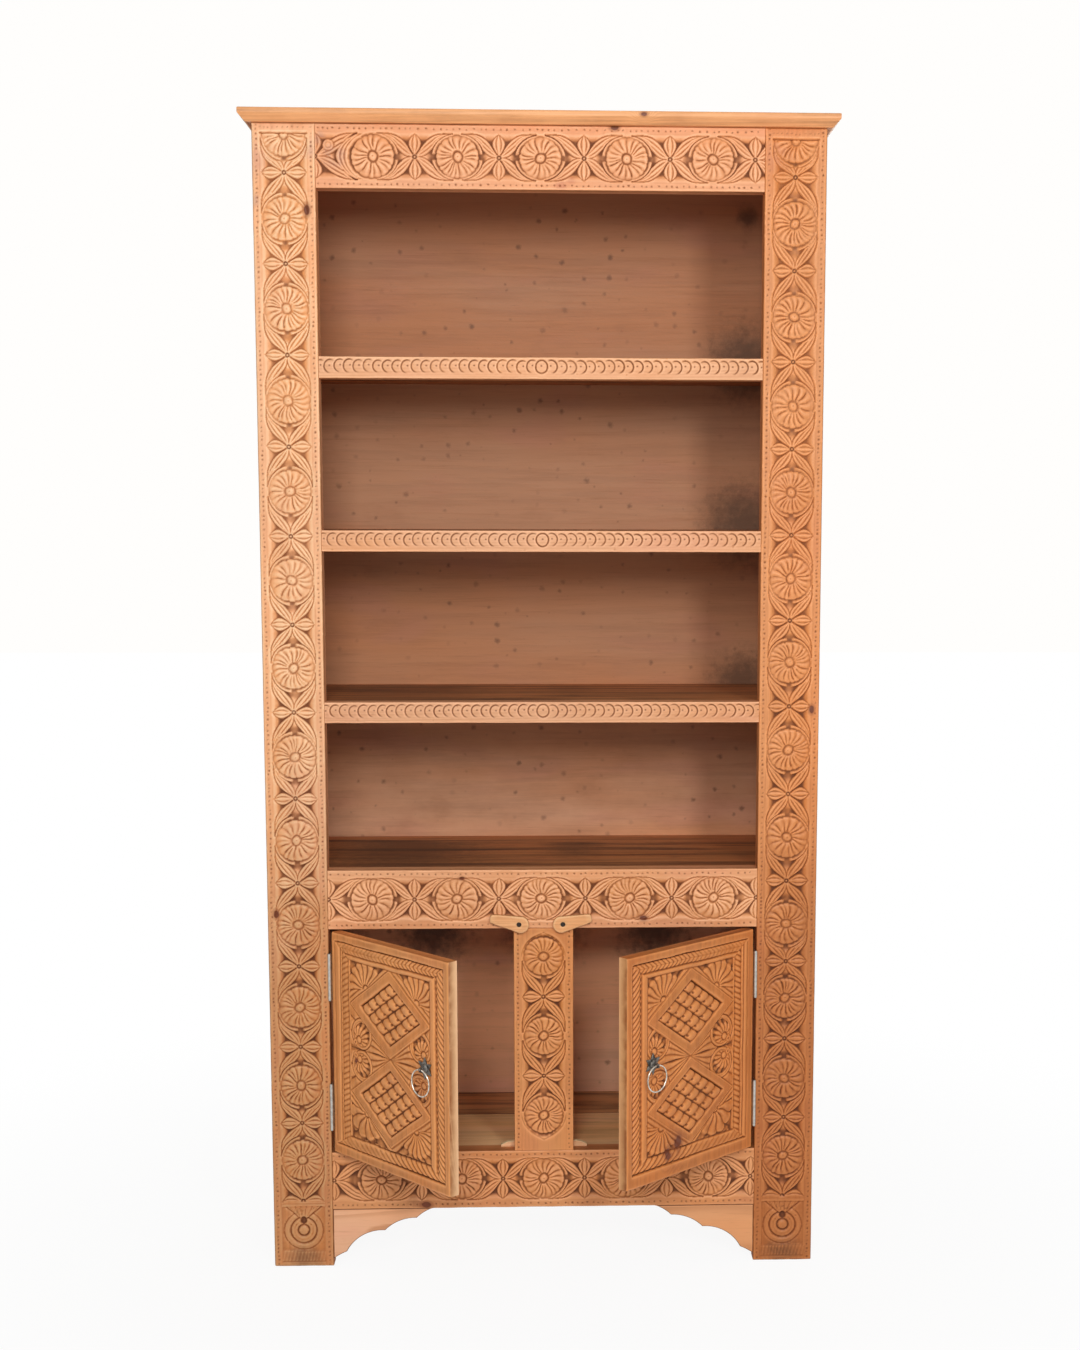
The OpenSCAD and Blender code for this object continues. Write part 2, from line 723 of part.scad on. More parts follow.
module left_turn_button() { color(plain_wood) at_pivot(left_button_x) turn_button(); }
module right_turn_button() {
    color(plain_wood) mirror([1, 0, 0]) at_pivot(right_button_x) turn_button();
}
module left_button_screw() { color(iron) at_pivot(left_button_x) button_screw(); }
module right_button_screw() { color(iron) mirror([1, 0, 0]) at_pivot(right_button_x) button_screw(); }

// ---- Door stops ----

// Wedge on the bottom rail beside the post, just behind the shut door
module door_stop() {
    translate([-post_w / 2, inner_y, cupboard_z]) rotate([90, 0, 0])
        linear_extrude(frame_t - door_t - face_gap)
            polygon([[0, 0], [0, stop_h], [-stop_w / 2, stop_h - 1], [-stop_w, stop_tip_h],
                     [-stop_w, 0]]);
}

module left_door_stop() { color(plain_wood) door_stop(); }
module right_door_stop() { color(plain_wood) mirror([1, 0, 0]) door_stop(); }

// ---- Nails ----

module back_panel_nails() { color(iron) at_back_nails() nail(); }
module top_board_nails() { color(iron) at_top_nails() nail(); }

// ---- The whole bookcase ----

left_stile();
right_stile();
frieze_rail();
mid_rail();
bottom_rail();
centre_post();
left_bracket();
right_bracket();
left_side_panel();
right_side_panel();
back_panel();
deck_board();
floor_plank_front();
floor_plank_back();
lower_shelf();
middle_shelf();
upper_shelf();
lower_shelf_edge();
middle_shelf_edge();
upper_shelf_edge();
top_board();
cornice_front();
cornice_left();
cornice_right();
left_door();
right_door();
left_upper_hinge_frame_leaf();
left_upper_hinge_door_leaf();
left_upper_hinge_pin();
left_lower_hinge_frame_leaf();
left_lower_hinge_door_leaf();
left_lower_hinge_pin();
right_upper_hinge_frame_leaf();
right_upper_hinge_door_leaf();
right_upper_hinge_pin();
right_lower_hinge_frame_leaf();
right_lower_hinge_door_leaf();
right_lower_hinge_pin();
left_frame_hinge_screws();
right_frame_hinge_screws();
left_door_hinge_screws();
right_door_hinge_screws();
left_star_plate();
left_ring_eye();
left_pull_ring();
right_star_plate();
right_ring_eye();
right_pull_ring();
left_turn_button();
right_turn_button();
left_button_screw();
right_button_screw();
left_door_stop();
right_door_stop();
back_panel_nails();
top_board_nails();
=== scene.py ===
"""Looks of a carved pine bookcase with two cupboard doors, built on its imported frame.

The carved fronts are height fields in millimetres, cut into the boards as real relief.
"""

import itertools
import math

import bpy
import numpy as np
from mathutils import Matrix, Vector


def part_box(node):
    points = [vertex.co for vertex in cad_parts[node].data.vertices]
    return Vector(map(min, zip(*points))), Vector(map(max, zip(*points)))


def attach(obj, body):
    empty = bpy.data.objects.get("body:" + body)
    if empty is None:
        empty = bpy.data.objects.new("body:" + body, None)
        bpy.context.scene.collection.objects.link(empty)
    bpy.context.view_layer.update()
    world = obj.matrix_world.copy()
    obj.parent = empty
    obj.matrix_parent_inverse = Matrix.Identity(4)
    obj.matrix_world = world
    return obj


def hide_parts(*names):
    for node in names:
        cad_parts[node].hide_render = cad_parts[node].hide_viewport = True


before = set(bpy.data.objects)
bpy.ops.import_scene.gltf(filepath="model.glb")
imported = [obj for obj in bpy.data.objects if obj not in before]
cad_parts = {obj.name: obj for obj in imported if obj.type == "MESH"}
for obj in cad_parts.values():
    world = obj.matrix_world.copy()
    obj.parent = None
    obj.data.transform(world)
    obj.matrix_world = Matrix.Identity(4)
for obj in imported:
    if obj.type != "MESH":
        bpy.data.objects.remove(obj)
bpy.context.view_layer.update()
MM = 0.001
TURN = 2 * math.pi


# ---- Measures taken from the frame, in millimetres ----


def corners(node):
    """Lowest and highest corner of a CAD node."""
    low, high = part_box(node)
    return np.array(low) / MM, np.array(high) / MM


stile_low, stile_high = corners("left_stile")
side_low, side_high = corners("left_side_panel")
FRONT_Y, INNER_Y = stile_low[1], stile_high[1]
HALF_W, OPEN_HALF = -stile_low[0], -stile_high[0]
FRAME_H, BAND = stile_high[2], stile_high[0] - stile_low[0]
SIDE_OUT, SIDE_IN = -side_low[0], -side_high[0]
BACK_Y = corners("back_panel")[1][1]
CUPBOARD_Z = corners("left_door_stop")[0][2]
MID_RAIL_Z = corners("deck_board")[1][2] - BAND
FRIEZE_Z = corners("frieze_rail")[1][2] - BAND
LEG_H = corners("bottom_rail")[0][2]


# ---- Height fields ----


def unit(x):
    """Keeps x between 0 and 1."""
    return np.clip(x, 0, 1)


def smooth(a, b, x):
    """0 below a, 1 above b, and a smooth step between them."""
    t = unit((x - a) / (b - a))
    return t * t * (3 - 2 * t)


def vee(distance, half, depth):
    """A V-shaped cut: its depth, below zero, at a distance from its middle."""
    return -depth * unit(1 - np.abs(distance) / half)


def gouge(distance, half, depth):
    """A round-bottomed cut."""
    return -depth * np.sqrt(pit(distance, half))


def pit(distance, size):
    """1 in the middle of a round mark and 0 outside it."""
    return unit(1 - (distance / size) ** 2)


def flanks(phase, power=2.0):
    """0 along the middle of a strand and 1 along its sides; phase runs from 0 to 1 across it."""
    return np.abs(2 * phase - 1) ** power


def crease(phase, width, half, depth):
    """V-shaped cuts along the sides of strands of that width."""
    return vee(np.minimum(phase, 1 - phase) * width, half, depth)


def window(axis, centre, reach):
    """The part of an axis that lies within reach of a centre."""
    return slice(*np.searchsorted(axis, (centre - reach, centre + reach)))


def blur(field, radius):
    """Two box blurs of a field; the radius is in grid steps."""
    size = 2 * radius + 1
    for axis in (0, 1, 0, 1):
        pad = [(0, 0), (0, 0)]
        pad[axis] = (radius + 1, radius)
        total = np.cumsum(np.pad(field, pad, mode="edge"), axis=axis)
        high = np.take(total, range(size, total.shape[axis]), axis)
        field = (high - np.take(total, range(total.shape[axis] - size), axis)) / size
    return field


GRID = 0.5
# half the width of a band's carved field, and where its border lines and its rows of dots run
FIELD, BORDER_LINE, DOT_LINE = 36, 36.6, 42.2


class Face:
    """A board's face as a height field: u runs right and v up, from its lower left corner."""

    def __init__(self, width, height, seed):
        self.rng = np.random.default_rng(seed)
        self.size = width, height
        counts = [4 * round(side / (4 * GRID)) for side in self.size]
        self.steps = [side / count for side, count in zip(self.size, counts)]
        self.u, self.v = (np.linspace(0, side, count + 1) for side, count in zip(self.size, counts))
        self.h = np.zeros((counts[1] + 1, counts[0] + 1))
        # where punched dots, holes and cut lines get painted shade with some stain, and how strongly painted shade and
        # stain darken the hollows
        self.shade_and_stain_in_cuts = np.zeros_like(self.h)
        self.stain = 1.0

    def noise(self, cell):
        """Smooth noise from -1 to 1 with lumps of about that size."""
        weights = []
        for axis in (self.u, self.v):
            count = int(axis[-1] / cell) + 3
            place = axis / axis[-1] * (count - 1.001)
            index = place.astype(int)
            part = smooth(0, 1, place - index)
            weight = np.zeros((len(axis), count))
            weight[np.arange(len(axis)), index] = 1 - part
            weight[np.arange(len(axis)), index + 1] += part
            weights.append(weight)
        grid = self.rng.uniform(-1, 1, (weights[1].shape[1], weights[0].shape[1]))
        return weights[1] @ grid @ weights[0].T

    def bent(self, reach, cell):
        """The grid's coordinates, moved a little as a carver's hand moves."""
        u, v = np.meshgrid(self.u, self.v)
        return u + reach * self.noise(cell), v + reach * self.noise(cell)

    def finish(self, edge, sides, tool=0.1, wave=0.2):
        """Softens the cuts, adds tool marks and dents, and wears the edges on the named sides."""
        u, v = np.meshgrid(self.u, self.v)
        self.h = blur(self.h, 1)
        depth = np.clip(-self.h, 0, 1.5)
        self.h += tool * self.noise(4.5) * (0.35 + depth) - wave * np.abs(self.noise(70))
        for _ in range(10):
            cu, cv = self.rng.uniform(0, self.size[0]), self.rng.uniform(0, self.size[1])
            size = self.rng.uniform(0.8, 2.6, 2)
            near = ((u - cu) / size[0]) ** 2 + ((v - cv) / size[1]) ** 2
            self.h -= self.rng.uniform(0.2, 0.6) * np.exp(-near)
        away = {"l": u, "r": self.size[0] - u, "b": v, "t": self.size[1] - v}
        worn = edge * (1 + 0.45 * self.noise(26) + 0.2 * self.noise(7))
        for side, distance in away.items():
            reach = worn if side in sides else 0.35
            self.h -= reach * (1 - unit(distance / (1.25 * reach))) ** 2
        return self

    def shades(self):
        """At each point, from 0 to 1: groove, which gets painted shade and stain; ridge, which gets a painted highlight
        and wear; deep hollow or marked cut, which gets painted shade; and carved area.
        """
        h, radius = self.h, max(1, round(1.5 / self.steps[0]))
        around, nearby, wide = (blur(h, k * radius) for k in (1, 2, 3))
        cut = 0.42 * unit((around - h) / 0.7) + 0.42 * unit((nearby - h) / 1.1)
        cut += (0.38 * unit((wide - h) / 1.5) + 0.3 * unit((-h - 2.8) / 2.2)) * self.stain
        ridge = 0.8 * unit((h - around) / 0.33) + 0.6 * unit((h - wide) / 1.1)
        hollow = unit((-h - 2.5) / 2.3) * unit((wide - h) / 1.6) * self.stain
        deep = np.maximum(hollow, blur(self.shade_and_stain_in_cuts, 1))
        return np.stack([unit(cut), unit(ridge), unit(deep), blur(unit(-h / 0.9), 2 * radius)], -1)


def petals(angle, edges):
    """For each angle: its place across its petal, the angle to the nearest edge, and both their numbers."""
    turn = (angle - edges[0]) % TURN
    starts = np.append(edges - edges[0], TURN)
    petal = np.clip(np.searchsorted(starts, turn, side="right") - 1, 0, len(edges) - 1)
    low, high = starts[petal], starts[petal + 1]
    nearest = (petal + (high - turn < turn - low)) % len(edges)
    return (turn - low) / (high - low), np.minimum(turn - low, high - turn), nearest, petal


def bowl(along, r):
    """Width of the hollow round a rosette: wide towards the flowers and narrow towards the borders."""
    return 1.8 + 4.4 * (along / np.maximum(r, 1)) ** 2


def rosette(h, shade_and_stain_in_cuts, s, t, centre, radius, rng):
    """Cuts a fluted rosette that sits in a hollow, and returns where it lies."""
    x, draw = s - centre, rng.uniform
    r, turn = np.hypot(x, t), np.arctan2(t, x)
    count = int(rng.integers(15, 23))
    widths = draw(0.6, 1.4, count)
    edges = np.cumsum(widths) / widths.sum() * TURN + draw(0, 6)
    twist = draw(-0.14, 0.14) * unit(r / radius) + 0.04 * np.sin(r / 4.5)
    place, angle, nearest, petal = petals(turn + twist, edges)
    ends = radius - draw(1.0, 6.5, count)[nearest]
    starts = 8.5 + draw(0, 5.0, count)[nearest]
    strength = draw(0.25, 1.2, count)[nearest]
    lean, level = draw(-0.8, 0.8, count)[petal], draw(-0.5, 0.1, count)[petal]
    flute = 1.5 * flanks(place, 1.8) * smooth(7, 17, r) * (0.35 + 0.65 * smooth(radius + 1, radius - 8, r))
    disc = -0.1 - 1.9 * (r / radius) ** 4 - flute - 1.3 * smooth(16, 9, r)
    disc += smooth(9, 19, r) * (level + lean * (place - 0.5))
    # the cuts between petals; some of them open into a wedge beside the boss
    width = (0.6 + 0.022 * np.clip(r - 10, 0, 40)) * draw(0.55, 1.6, count)[nearest] * draw(0.85, 1.4)
    along = smooth(starts, starts + 3, r) * (1 - smooth(ends - 5, ends, r))
    disc += vee(r * angle, width, 2.0) * along * strength
    wedge = (draw(0, 1, count) < 0.4)[nearest] * np.clip(2.6 * (1 - (r - 8) / 12), 0.01, 3)
    disc += vee(r * angle, np.maximum(wedge, 0.01), 1.8) * smooth(8, 10, r) * (r < 20)
    out = r * (1 + 0.07 * np.sin(2 * turn + draw(0, 6)) + 0.025 * np.sin(4 * turn + draw(0, 6)))
    tilt = (t * draw(-1, 1) + x * draw(-1, 1)) * 0.07
    boss = np.where(out < 6.2, 0.3 - 1.9 * (out / 6.4) ** 2.4 + tilt, -1.6) + gouge(out - 7.7, 1.9, 1.8)
    boss -= 1.6 * (1 - smooth(0.8, 1.8, np.hypot(x - draw(-1, 1), t - draw(-1, 1))))
    disc = np.where(out < 9.8, np.where(out < 7.7, boss, np.minimum(boss, disc)), disc)
    rim = radius - 0.9 * flanks(place, 3)
    sideways = (x / np.maximum(r, 1)) ** 2
    disc -= (0.5 + sideways) * unit((r - rim + 2.2) / 2.2) ** 2
    hollow = bowl(x, r)
    floor = -(2.1 + 2.4 * sideways) * (1 - unit((r - rim) / hollow)) ** 0.75 - 0.5
    inside = r < radius + hollow
    h[inside] = np.where(r < rim, disc, floor)[inside]
    # painted shade in the groove round the boss
    shade_and_stain_in_cuts[inside] = (0.35 * (1 - smooth(0.7, 1.5, np.abs(out - 7.8))) * draw(0.2, 1) * (r < rim))[inside]
    return inside


def slope(field, steps):
    """Length of a field's gradient, kept away from zero."""
    return np.maximum(np.hypot(*np.gradient(field, steps[1], steps[0])), 1e-4)


def leaf(q, steps, strands, depth, soft=2.6):
    """Surface of a leaf whose q runs from 0 to 1 across it: rounded strands with creases between them."""
    size, count = slope(q, steps), len(strands)
    edge = np.minimum(q, 1 - q) / size
    ends = np.append(0, np.cumsum(strands)) / sum(strands)
    phase = np.interp(unit(q), np.linspace(0, 1, count + 1), ends) * count % 1
    broad = np.clip(1 / size / count, 0, 8)
    hump = -np.clip(0.3 * broad, 0.1, 1.6) * flanks(phase)
    cuts = crease(phase, broad, 0.95, 1.5) * smooth(0.7, 2.2, broad)
    return -0.3 + hump + cuts - depth * (1 - smooth(0, soft, edge)) ** 1.6


OUTER_LINE = [0, 4, 8, 11.5, 16, 20, 25, 30, 36, 44, 60], [0, 5.2, 11, 16.3, 22, 26, 29.6, 32.4, 34.4, 35.6, 36]
MOUTH_LINE = [0, 12, 17, 21, 25, 29, 33, 37], [0, 0.1, 1.6, 4.2, 7.6, 11.4, 15, 17]


def flower(h, shade_and_stain_in_cuts, s, t, steps, centre, before, after, radius, busy, rng):
    """Cuts a six-leaved flower between two rosettes that lie before and after it."""
    gap = np.where(s < centre, before, after)
    u, v, x = np.abs(s - centre), np.abs(t), gap - np.abs(s - centre)
    scaled = u * 70.5 / gap
    outer, mouth = np.interp(scaled, *OUTER_LINE), np.interp(scaled, *MOUTH_LINE)
    ring = radius + bowl(x, radius + 3)
    circle = np.sqrt(np.clip(ring**2 - x**2, 0, None))
    inner = np.maximum(circle, mouth * (u < gap - radius + 8))
    # the four long leaves, each with uneven strands
    q = (v - inner) / np.maximum(outer - inner, 0.4)
    uneven = rng.uniform(0.8, 1.25, (4, 3))
    drop = np.where(q < 0.5, 0.5 + 1.8 * smooth(10, 19, scaled), 2.3)
    quarter = 2 * (s >= centre) + (t >= 0)
    big = np.choose(quarter, [leaf(np.clip(q, -0.4, 1.4), steps, row, drop) for row in uneven])
    big += np.exp(-((np.hypot(u, v) / 9) ** 2)) - 0.9 * smooth(36, 62, scaled)
    middle = vee(t, 0.9, 1.2) * smooth(3, 9, u)
    # the two short leaves across the band
    length = unit((v - 1.5) / 33.6)
    half_width = 10.4 * np.sin(length**1.25 * math.pi) ** 0.85 * rng.uniform(0.92, 1.06)
    side = u / np.maximum(half_width, 0.05)
    small = leaf(0.5 + np.clip(side, 0, 3) / 2, steps, (1.15, 0.8, 1.15), 2.3, 2.2) + 0.6 * np.exp(-((v / 8) ** 2))
    # chip cuts: they slope down from the border to the corner between two leaves, and from the rosette's rim
    chip = -4.8 * smooth(34.5, 21.0, v)
    pocket = -1.3 - 3.5 * smooth(14, 29, scaled)
    away = np.hypot(x, v)
    opened = (v < inner) & (v < 9) & (away > radius + 0.3) & (gap < 80)
    h[opened] = np.minimum(h, pocket * (1 - smooth(3, 9, v)))[opened]
    # painted shade in the pocket beside the rosette
    dark = 0.8 * smooth(radius + 8, radius + 3, away) * (1 - smooth(1, 5, v))
    shade_and_stain_in_cuts[opened] = np.maximum(shade_and_stain_in_cuts, dark)[opened]
    value = np.where((q > 0) & (q < 1), np.minimum(big, big + middle), np.where(v < inner, pocket, chip))
    value = np.where(side < 1, small, value)
    # a punched ring in the flower's middle
    r = np.hypot(t, s - centre)
    value = np.where(r < 4.4, -3.3 * smooth(4.4, 3.2, r) + 2.0 * smooth(1.9, 1.0, r), value)
    area = (v < 35.9) & (u < gap * 0.9) & ~busy
    h[area] = value[area]
    # painted shade in the punched ring
    shade_and_stain_in_cuts[area] = np.maximum(shade_and_stain_in_cuts, 0.95 * (1 - smooth(0.9, 1.9, np.abs(r - 2.7))))[area]


def dots(h, shade_and_stain_in_cuts, s, t, line, rng, length, pitch):
    """Punches a row of dots along s at the distance line from the middle."""
    place = rng.uniform(2, 6)
    while place < length - 2:
        at = line + rng.normal(0, 0.5)
        near = window(t[:, 0], at, 3), window(s[0], place, 3)
        r = np.hypot((s[near] - place) / rng.uniform(1.0, 1.5), t[near] - at)
        spot = pit(r, 1.2 * rng.uniform(0.8, 1.25))
        h[near] -= rng.uniform(1.0, 1.8) * spot
        # painted shade in the dot
        shade_and_stain_in_cuts[near] = np.maximum(shade_and_stain_in_cuts[near], rng.uniform(0.65, 1.0) * np.sqrt(spot))
        place += pitch * rng.uniform(0.72, 1.3)


def carved_band(face, rosettes, flowers, rng, radius=34.5, upright=True, border=0.7, pitch=7.4, crescent=0):
    """Fills a band with rosettes and flowers. Along the band is s, and t is from its middle line.

    A crescent of that width fills the space before the first rosette.
    """
    u, v = face.bent(0.7, 34)
    turned = (lambda field: field.T) if upright else (lambda field: field)
    s, t = (v.T, u.T) if upright else (u, v)
    along, over = (face.v, face.u) if upright else (face.u, face.v)
    steps = face.steps[::-1] if upright else face.steps
    t = t - BAND / 2
    h, shade_and_stain_in_cuts = turned(face.h), turned(face.shade_and_stain_in_cuts)
    busy = np.zeros(h.shape, bool)
    first = min(rosettes)

    def seen(centre, reach):
        part = window(along, centre, reach)
        return part, [field[:, part] for field in (h, shade_and_stain_in_cuts, s, t)]

    for centre in rosettes:
        part, fields = seen(centre, radius + 7)
        busy[:, part] |= rosette(*fields, centre, radius + rng.uniform(-1.0, 0.3), rng)
    if crescent:
        out = np.hypot(s - first, t) - radius - 4
        width = crescent * (1 - 0.85 * unit(np.abs(t) / 37) ** 1.6)
        phase = 3 * out / width % 1
        arcs = -0.8 - 1.3 * flanks(phase) + crease(phase, width / 3, 0.7, 1.0)
        there = (out > 0) & (out < width) & (s < first - 8) & (np.abs(t) < 34.5) & ~busy
        h[there] = arcs[there]
        busy |= there
    for centre, before, after in flowers:
        part, fields = seen(centre, 66)
        outer = radius + (0.4 * crescent if centre < first else 0)
        flower(*fields, steps, centre, before, after, outer, busy[:, part], rng)
    h += vee(np.abs(t) - BORDER_LINE, 0.8, border) * (0.6 + 0.4 * np.abs(turned(face.noise(50))))
    plain = np.meshgrid(along, over - BAND / 2)
    for side in (-1, 1):
        dots(h, shade_and_stain_in_cuts, *plain, side * DOT_LINE, rng, along[-1], pitch)
    return s, t


# ---- Meshes ----


def link(name, data):
    """Puts a mesh, lamp or camera into the scene."""
    thing = bpy.data.objects.new(name, data)
    bpy.context.scene.collection.objects.link(thing)
    return thing


def new_object(name, points, faces):
    """A smooth-shaded mesh from points in millimetres."""
    mesh = bpy.data.meshes.new(name)
    mesh.from_pydata([tuple(p) for p in np.asarray(points) * MM], [], faces)
    mesh.polygons.foreach_set("use_smooth", [True] * len(mesh.polygons))
    mesh.update()
    return link(name, mesh)


def skin(rings, count, closed=False, shift=0):
    """Faces between rings of count points. closed joins the last ring to the first, turned by shift points."""
    faces = []
    for a in range(rings if closed else rings - 1):
        b, turned = (a + 1, 0) if a + 1 < rings else (0, shift)
        for k in range(count):
            j = (k + 1) % count
            over = [b * count + (i + turned) % count for i in (j, k)]
            faces.append([a * count + k, a * count + j, *over])
    return faces


def caps(rings, count):
    """The faces on the first and the last ring."""
    return list(range(count))[::-1], [(rings - 1) * count + k for k in range(count)]


def set_shades(thing, *columns):
    """Stores at each vertex, for the wood's colour: cut, for painted shade and stain; ridge, for a painted highlight
    and wear; depth, for painted shade; and carved area. What isn't given is 0.
    """
    colours = np.zeros((len(thing.data.vertices), 4), np.float32)
    for k, column in enumerate(columns):
        colours[:, k] = column
    layer = thing.data.color_attributes.new("relief", "FLOAT_COLOR", "POINT")
    layer.data.foreach_set("color", colours.ravel())


def misfit(h, size):
    """How far the field leaves a flat cell of that many steps, for each cell."""
    rows, columns = (h.shape[0] - 1) // size, (h.shape[1] - 1) // size
    row, column = slice(0, rows * size, size), slice(0, columns * size, size)
    low_left, low_right = h[row, column], h[row, size::size]
    high_left, high_right = h[size::size, column], h[size::size, size::size]
    worst = np.zeros((rows, columns))
    for a in range(size + 1):
        for b in range(size + 1):
            x, y = b / size, a / size
            flat = (low_left * (1 - x) + low_right * x) * (1 - y) + (high_left * (1 - x) + high_right * x) * y
            there = h[a : a + (rows - 1) * size + 1 : size, b : b + (columns - 1) * size + 1 : size]
            worst = np.maximum(worst, np.abs(there - flat))
    return worst


def spread(cells):
    """The same cells at twice the resolution."""
    return np.repeat(np.repeat(cells, 2, 0), 2, 1)


def face_cells(h, budget):
    """Splits the field into square cells of 4, 2 or 1 steps, small where it curves, within a budget of triangles."""
    coarse, fine = misfit(h, 4), misfit(h, 2)

    def cells(limit):
        split = coarse > limit
        again = spread(split) & (fine > 1.5 * limit)
        return {4: ~split, 2: spread(split) & ~again, 1: spread(again)}

    low, high = 0.005, 1.5
    for _ in range(14):
        limit = math.sqrt(low * high)
        count = sum(chosen.sum() for chosen in cells(limit).values())
        low, high = (limit, high) if 2.25 * count > budget else (low, limit)
    return cells(high)


def board_from_face(name, face, origin, axes, thick, budget):
    """A closed board whose front is the height field. axes are the directions of u, v and out of the face."""
    h = face.h
    cells = face_cells(h, budget)
    used = np.zeros(h.shape, bool)
    for size, chosen in cells.items():
        rows, columns = np.nonzero(chosen)
        for a, b in ((0, 0), (0, 1), (1, 0), (1, 1)):
            used[(rows + a) * size, (columns + b) * size] = True
    number = np.full(h.shape, -1)
    number[used] = np.arange(used.sum())
    # a cell's ring takes in the corners of smaller cells beside it
    loops, counts = [], []
    for size, chosen in cells.items():
        rows, columns = (part[:, None] * size for part in np.nonzero(chosen))
        run, zero, full = np.arange(size), np.zeros(size, int), np.full(size, size)
        ring = number[rows + np.r_[zero, run, full, size - run], columns + np.r_[run, full, size - run, zero]]
        keep = ring >= 0
        loops.append(ring[keep])
        counts.append(keep.sum(1))
    rows, columns = np.nonzero(used)
    width, height = face.size
    total = len(rows)
    back = [[0, 0, -thick], [width, 0, -thick], [width, height, -thick], [0, height, -thick]]
    flat = np.vstack([np.column_stack([face.u[columns], face.v[rows], h[rows, columns]]), back])
    sides = [
        np.r_[number[0][used[0]][::-1], total, total + 1],
        np.r_[number[:, -1][used[:, -1]][::-1], total + 1, total + 2],
        np.r_[number[-1][used[-1]], total + 2, total + 3],
        np.r_[number[:, 0][used[:, 0]], total + 3, total],
        np.array([total + 3, total + 2, total + 1, total]),
    ]
    loops = np.concatenate(loops + sides)
    counts = np.concatenate(counts + [[len(side) for side in sides]])
    starts = np.concatenate([[0], np.cumsum(counts)[:-1]])
    axes = np.array(axes, float)
    points = np.array(origin) + flat @ axes
    if np.linalg.det(axes) < 0:
        owner = np.repeat(np.arange(len(counts)), counts)
        loops = loops[2 * starts[owner] + counts[owner] - 1 - np.arange(len(loops))]
    mesh = bpy.data.meshes.new(name)
    mesh.vertices.add(len(points))
    mesh.vertices.foreach_set("co", (points * MM).astype(np.float32).ravel())
    mesh.loops.add(len(loops))
    mesh.loops.foreach_set("vertex_index", loops.astype(np.int32))
    mesh.polygons.add(len(counts))
    mesh.polygons.foreach_set("loop_start", starts.astype(np.int32))
    mesh.update(calc_edges=True)
    mesh.polygons.foreach_set("use_smooth", np.arange(len(counts)) < len(counts) - len(sides))
    mesh.validate()
    thing = link(name, mesh)
    values = np.zeros((len(points), 4))
    values[:total] = face.shades()[rows, columns]
    set_shades(thing, *values.T)
    return thing


def grid_lines(low, high, rounding, spacing=22.0):
    """Places along one side of a board: close together at its rounded ends."""
    count = max(1, int((high - low) / spacing))
    ends = np.array([0, 0.3 * rounding, rounding, 2.2 * rounding])
    middle = np.linspace(low + ends[3], high - ends[3], count + 1)[1:-1]
    return np.concatenate([low + ends, middle, high - ends[::-1]])


def plank(name, low, high, seed, rounding=1.2, wear=0.5):
    """A board with softened, unevenly worn edges."""
    low, high = np.array(low, float), np.array(high, float)
    rng = np.random.default_rng(seed)
    rounding = min(rounding, 0.2 * (high - low).min())
    lines = [grid_lines(low[k], high[k], rounding) for k in range(3)]
    numbers, points, faces = {}, [], []

    def vertex(key):
        if key not in numbers:
            numbers[key] = len(points)
            points.append([line[k] for line, k in zip(lines, key)])
        return numbers[key]

    for axis in range(3):
        b, c = (axis + 1) % 3, (axis + 2) % 3
        ends = 0, len(lines[axis]) - 1
        for end, i, j in itertools.product(ends, range(len(lines[b]) - 1), range(len(lines[c]) - 1)):
            ring = []
            for di, dj in ((0, 0), (1, 0), (1, 1), (0, 1)):
                key = {axis: end, b: i + di, c: j + dj}
                ring.append(vertex((key[0], key[1], key[2])))
            faces.append(ring if end else ring[::-1])
    points = np.array(points)
    waves = rng.uniform(0.01, 0.06, (5, 3))
    phases = rng.uniform(0, 6.3, 5)
    lumps = np.sin(points @ waves.T * 2 + phases).mean(1)
    chips = unit(np.sin(points @ (waves.T * 4.1) + phases[::-1]).mean(1) - 0.35) * 3
    size = (rounding * (1 + 0.5 * lumps + wear * chips))[:, None]
    closest = np.sort(np.minimum(points - low, high - points), 1)
    inner = np.clip(points, low + size, high - size)
    away = points - inner
    length = np.linalg.norm(away, axis=1)[:, None]
    moved = inner + away / np.maximum(length, 1e-9) * size
    thing = new_object(name, np.where(length > 1e-9, moved, points), faces)
    # the rounded edges get a painted highlight with the wear of ridges
    set_shades(thing, 0, unit(1 - closest[:, 1] / (1.6 * rounding)))
    return thing


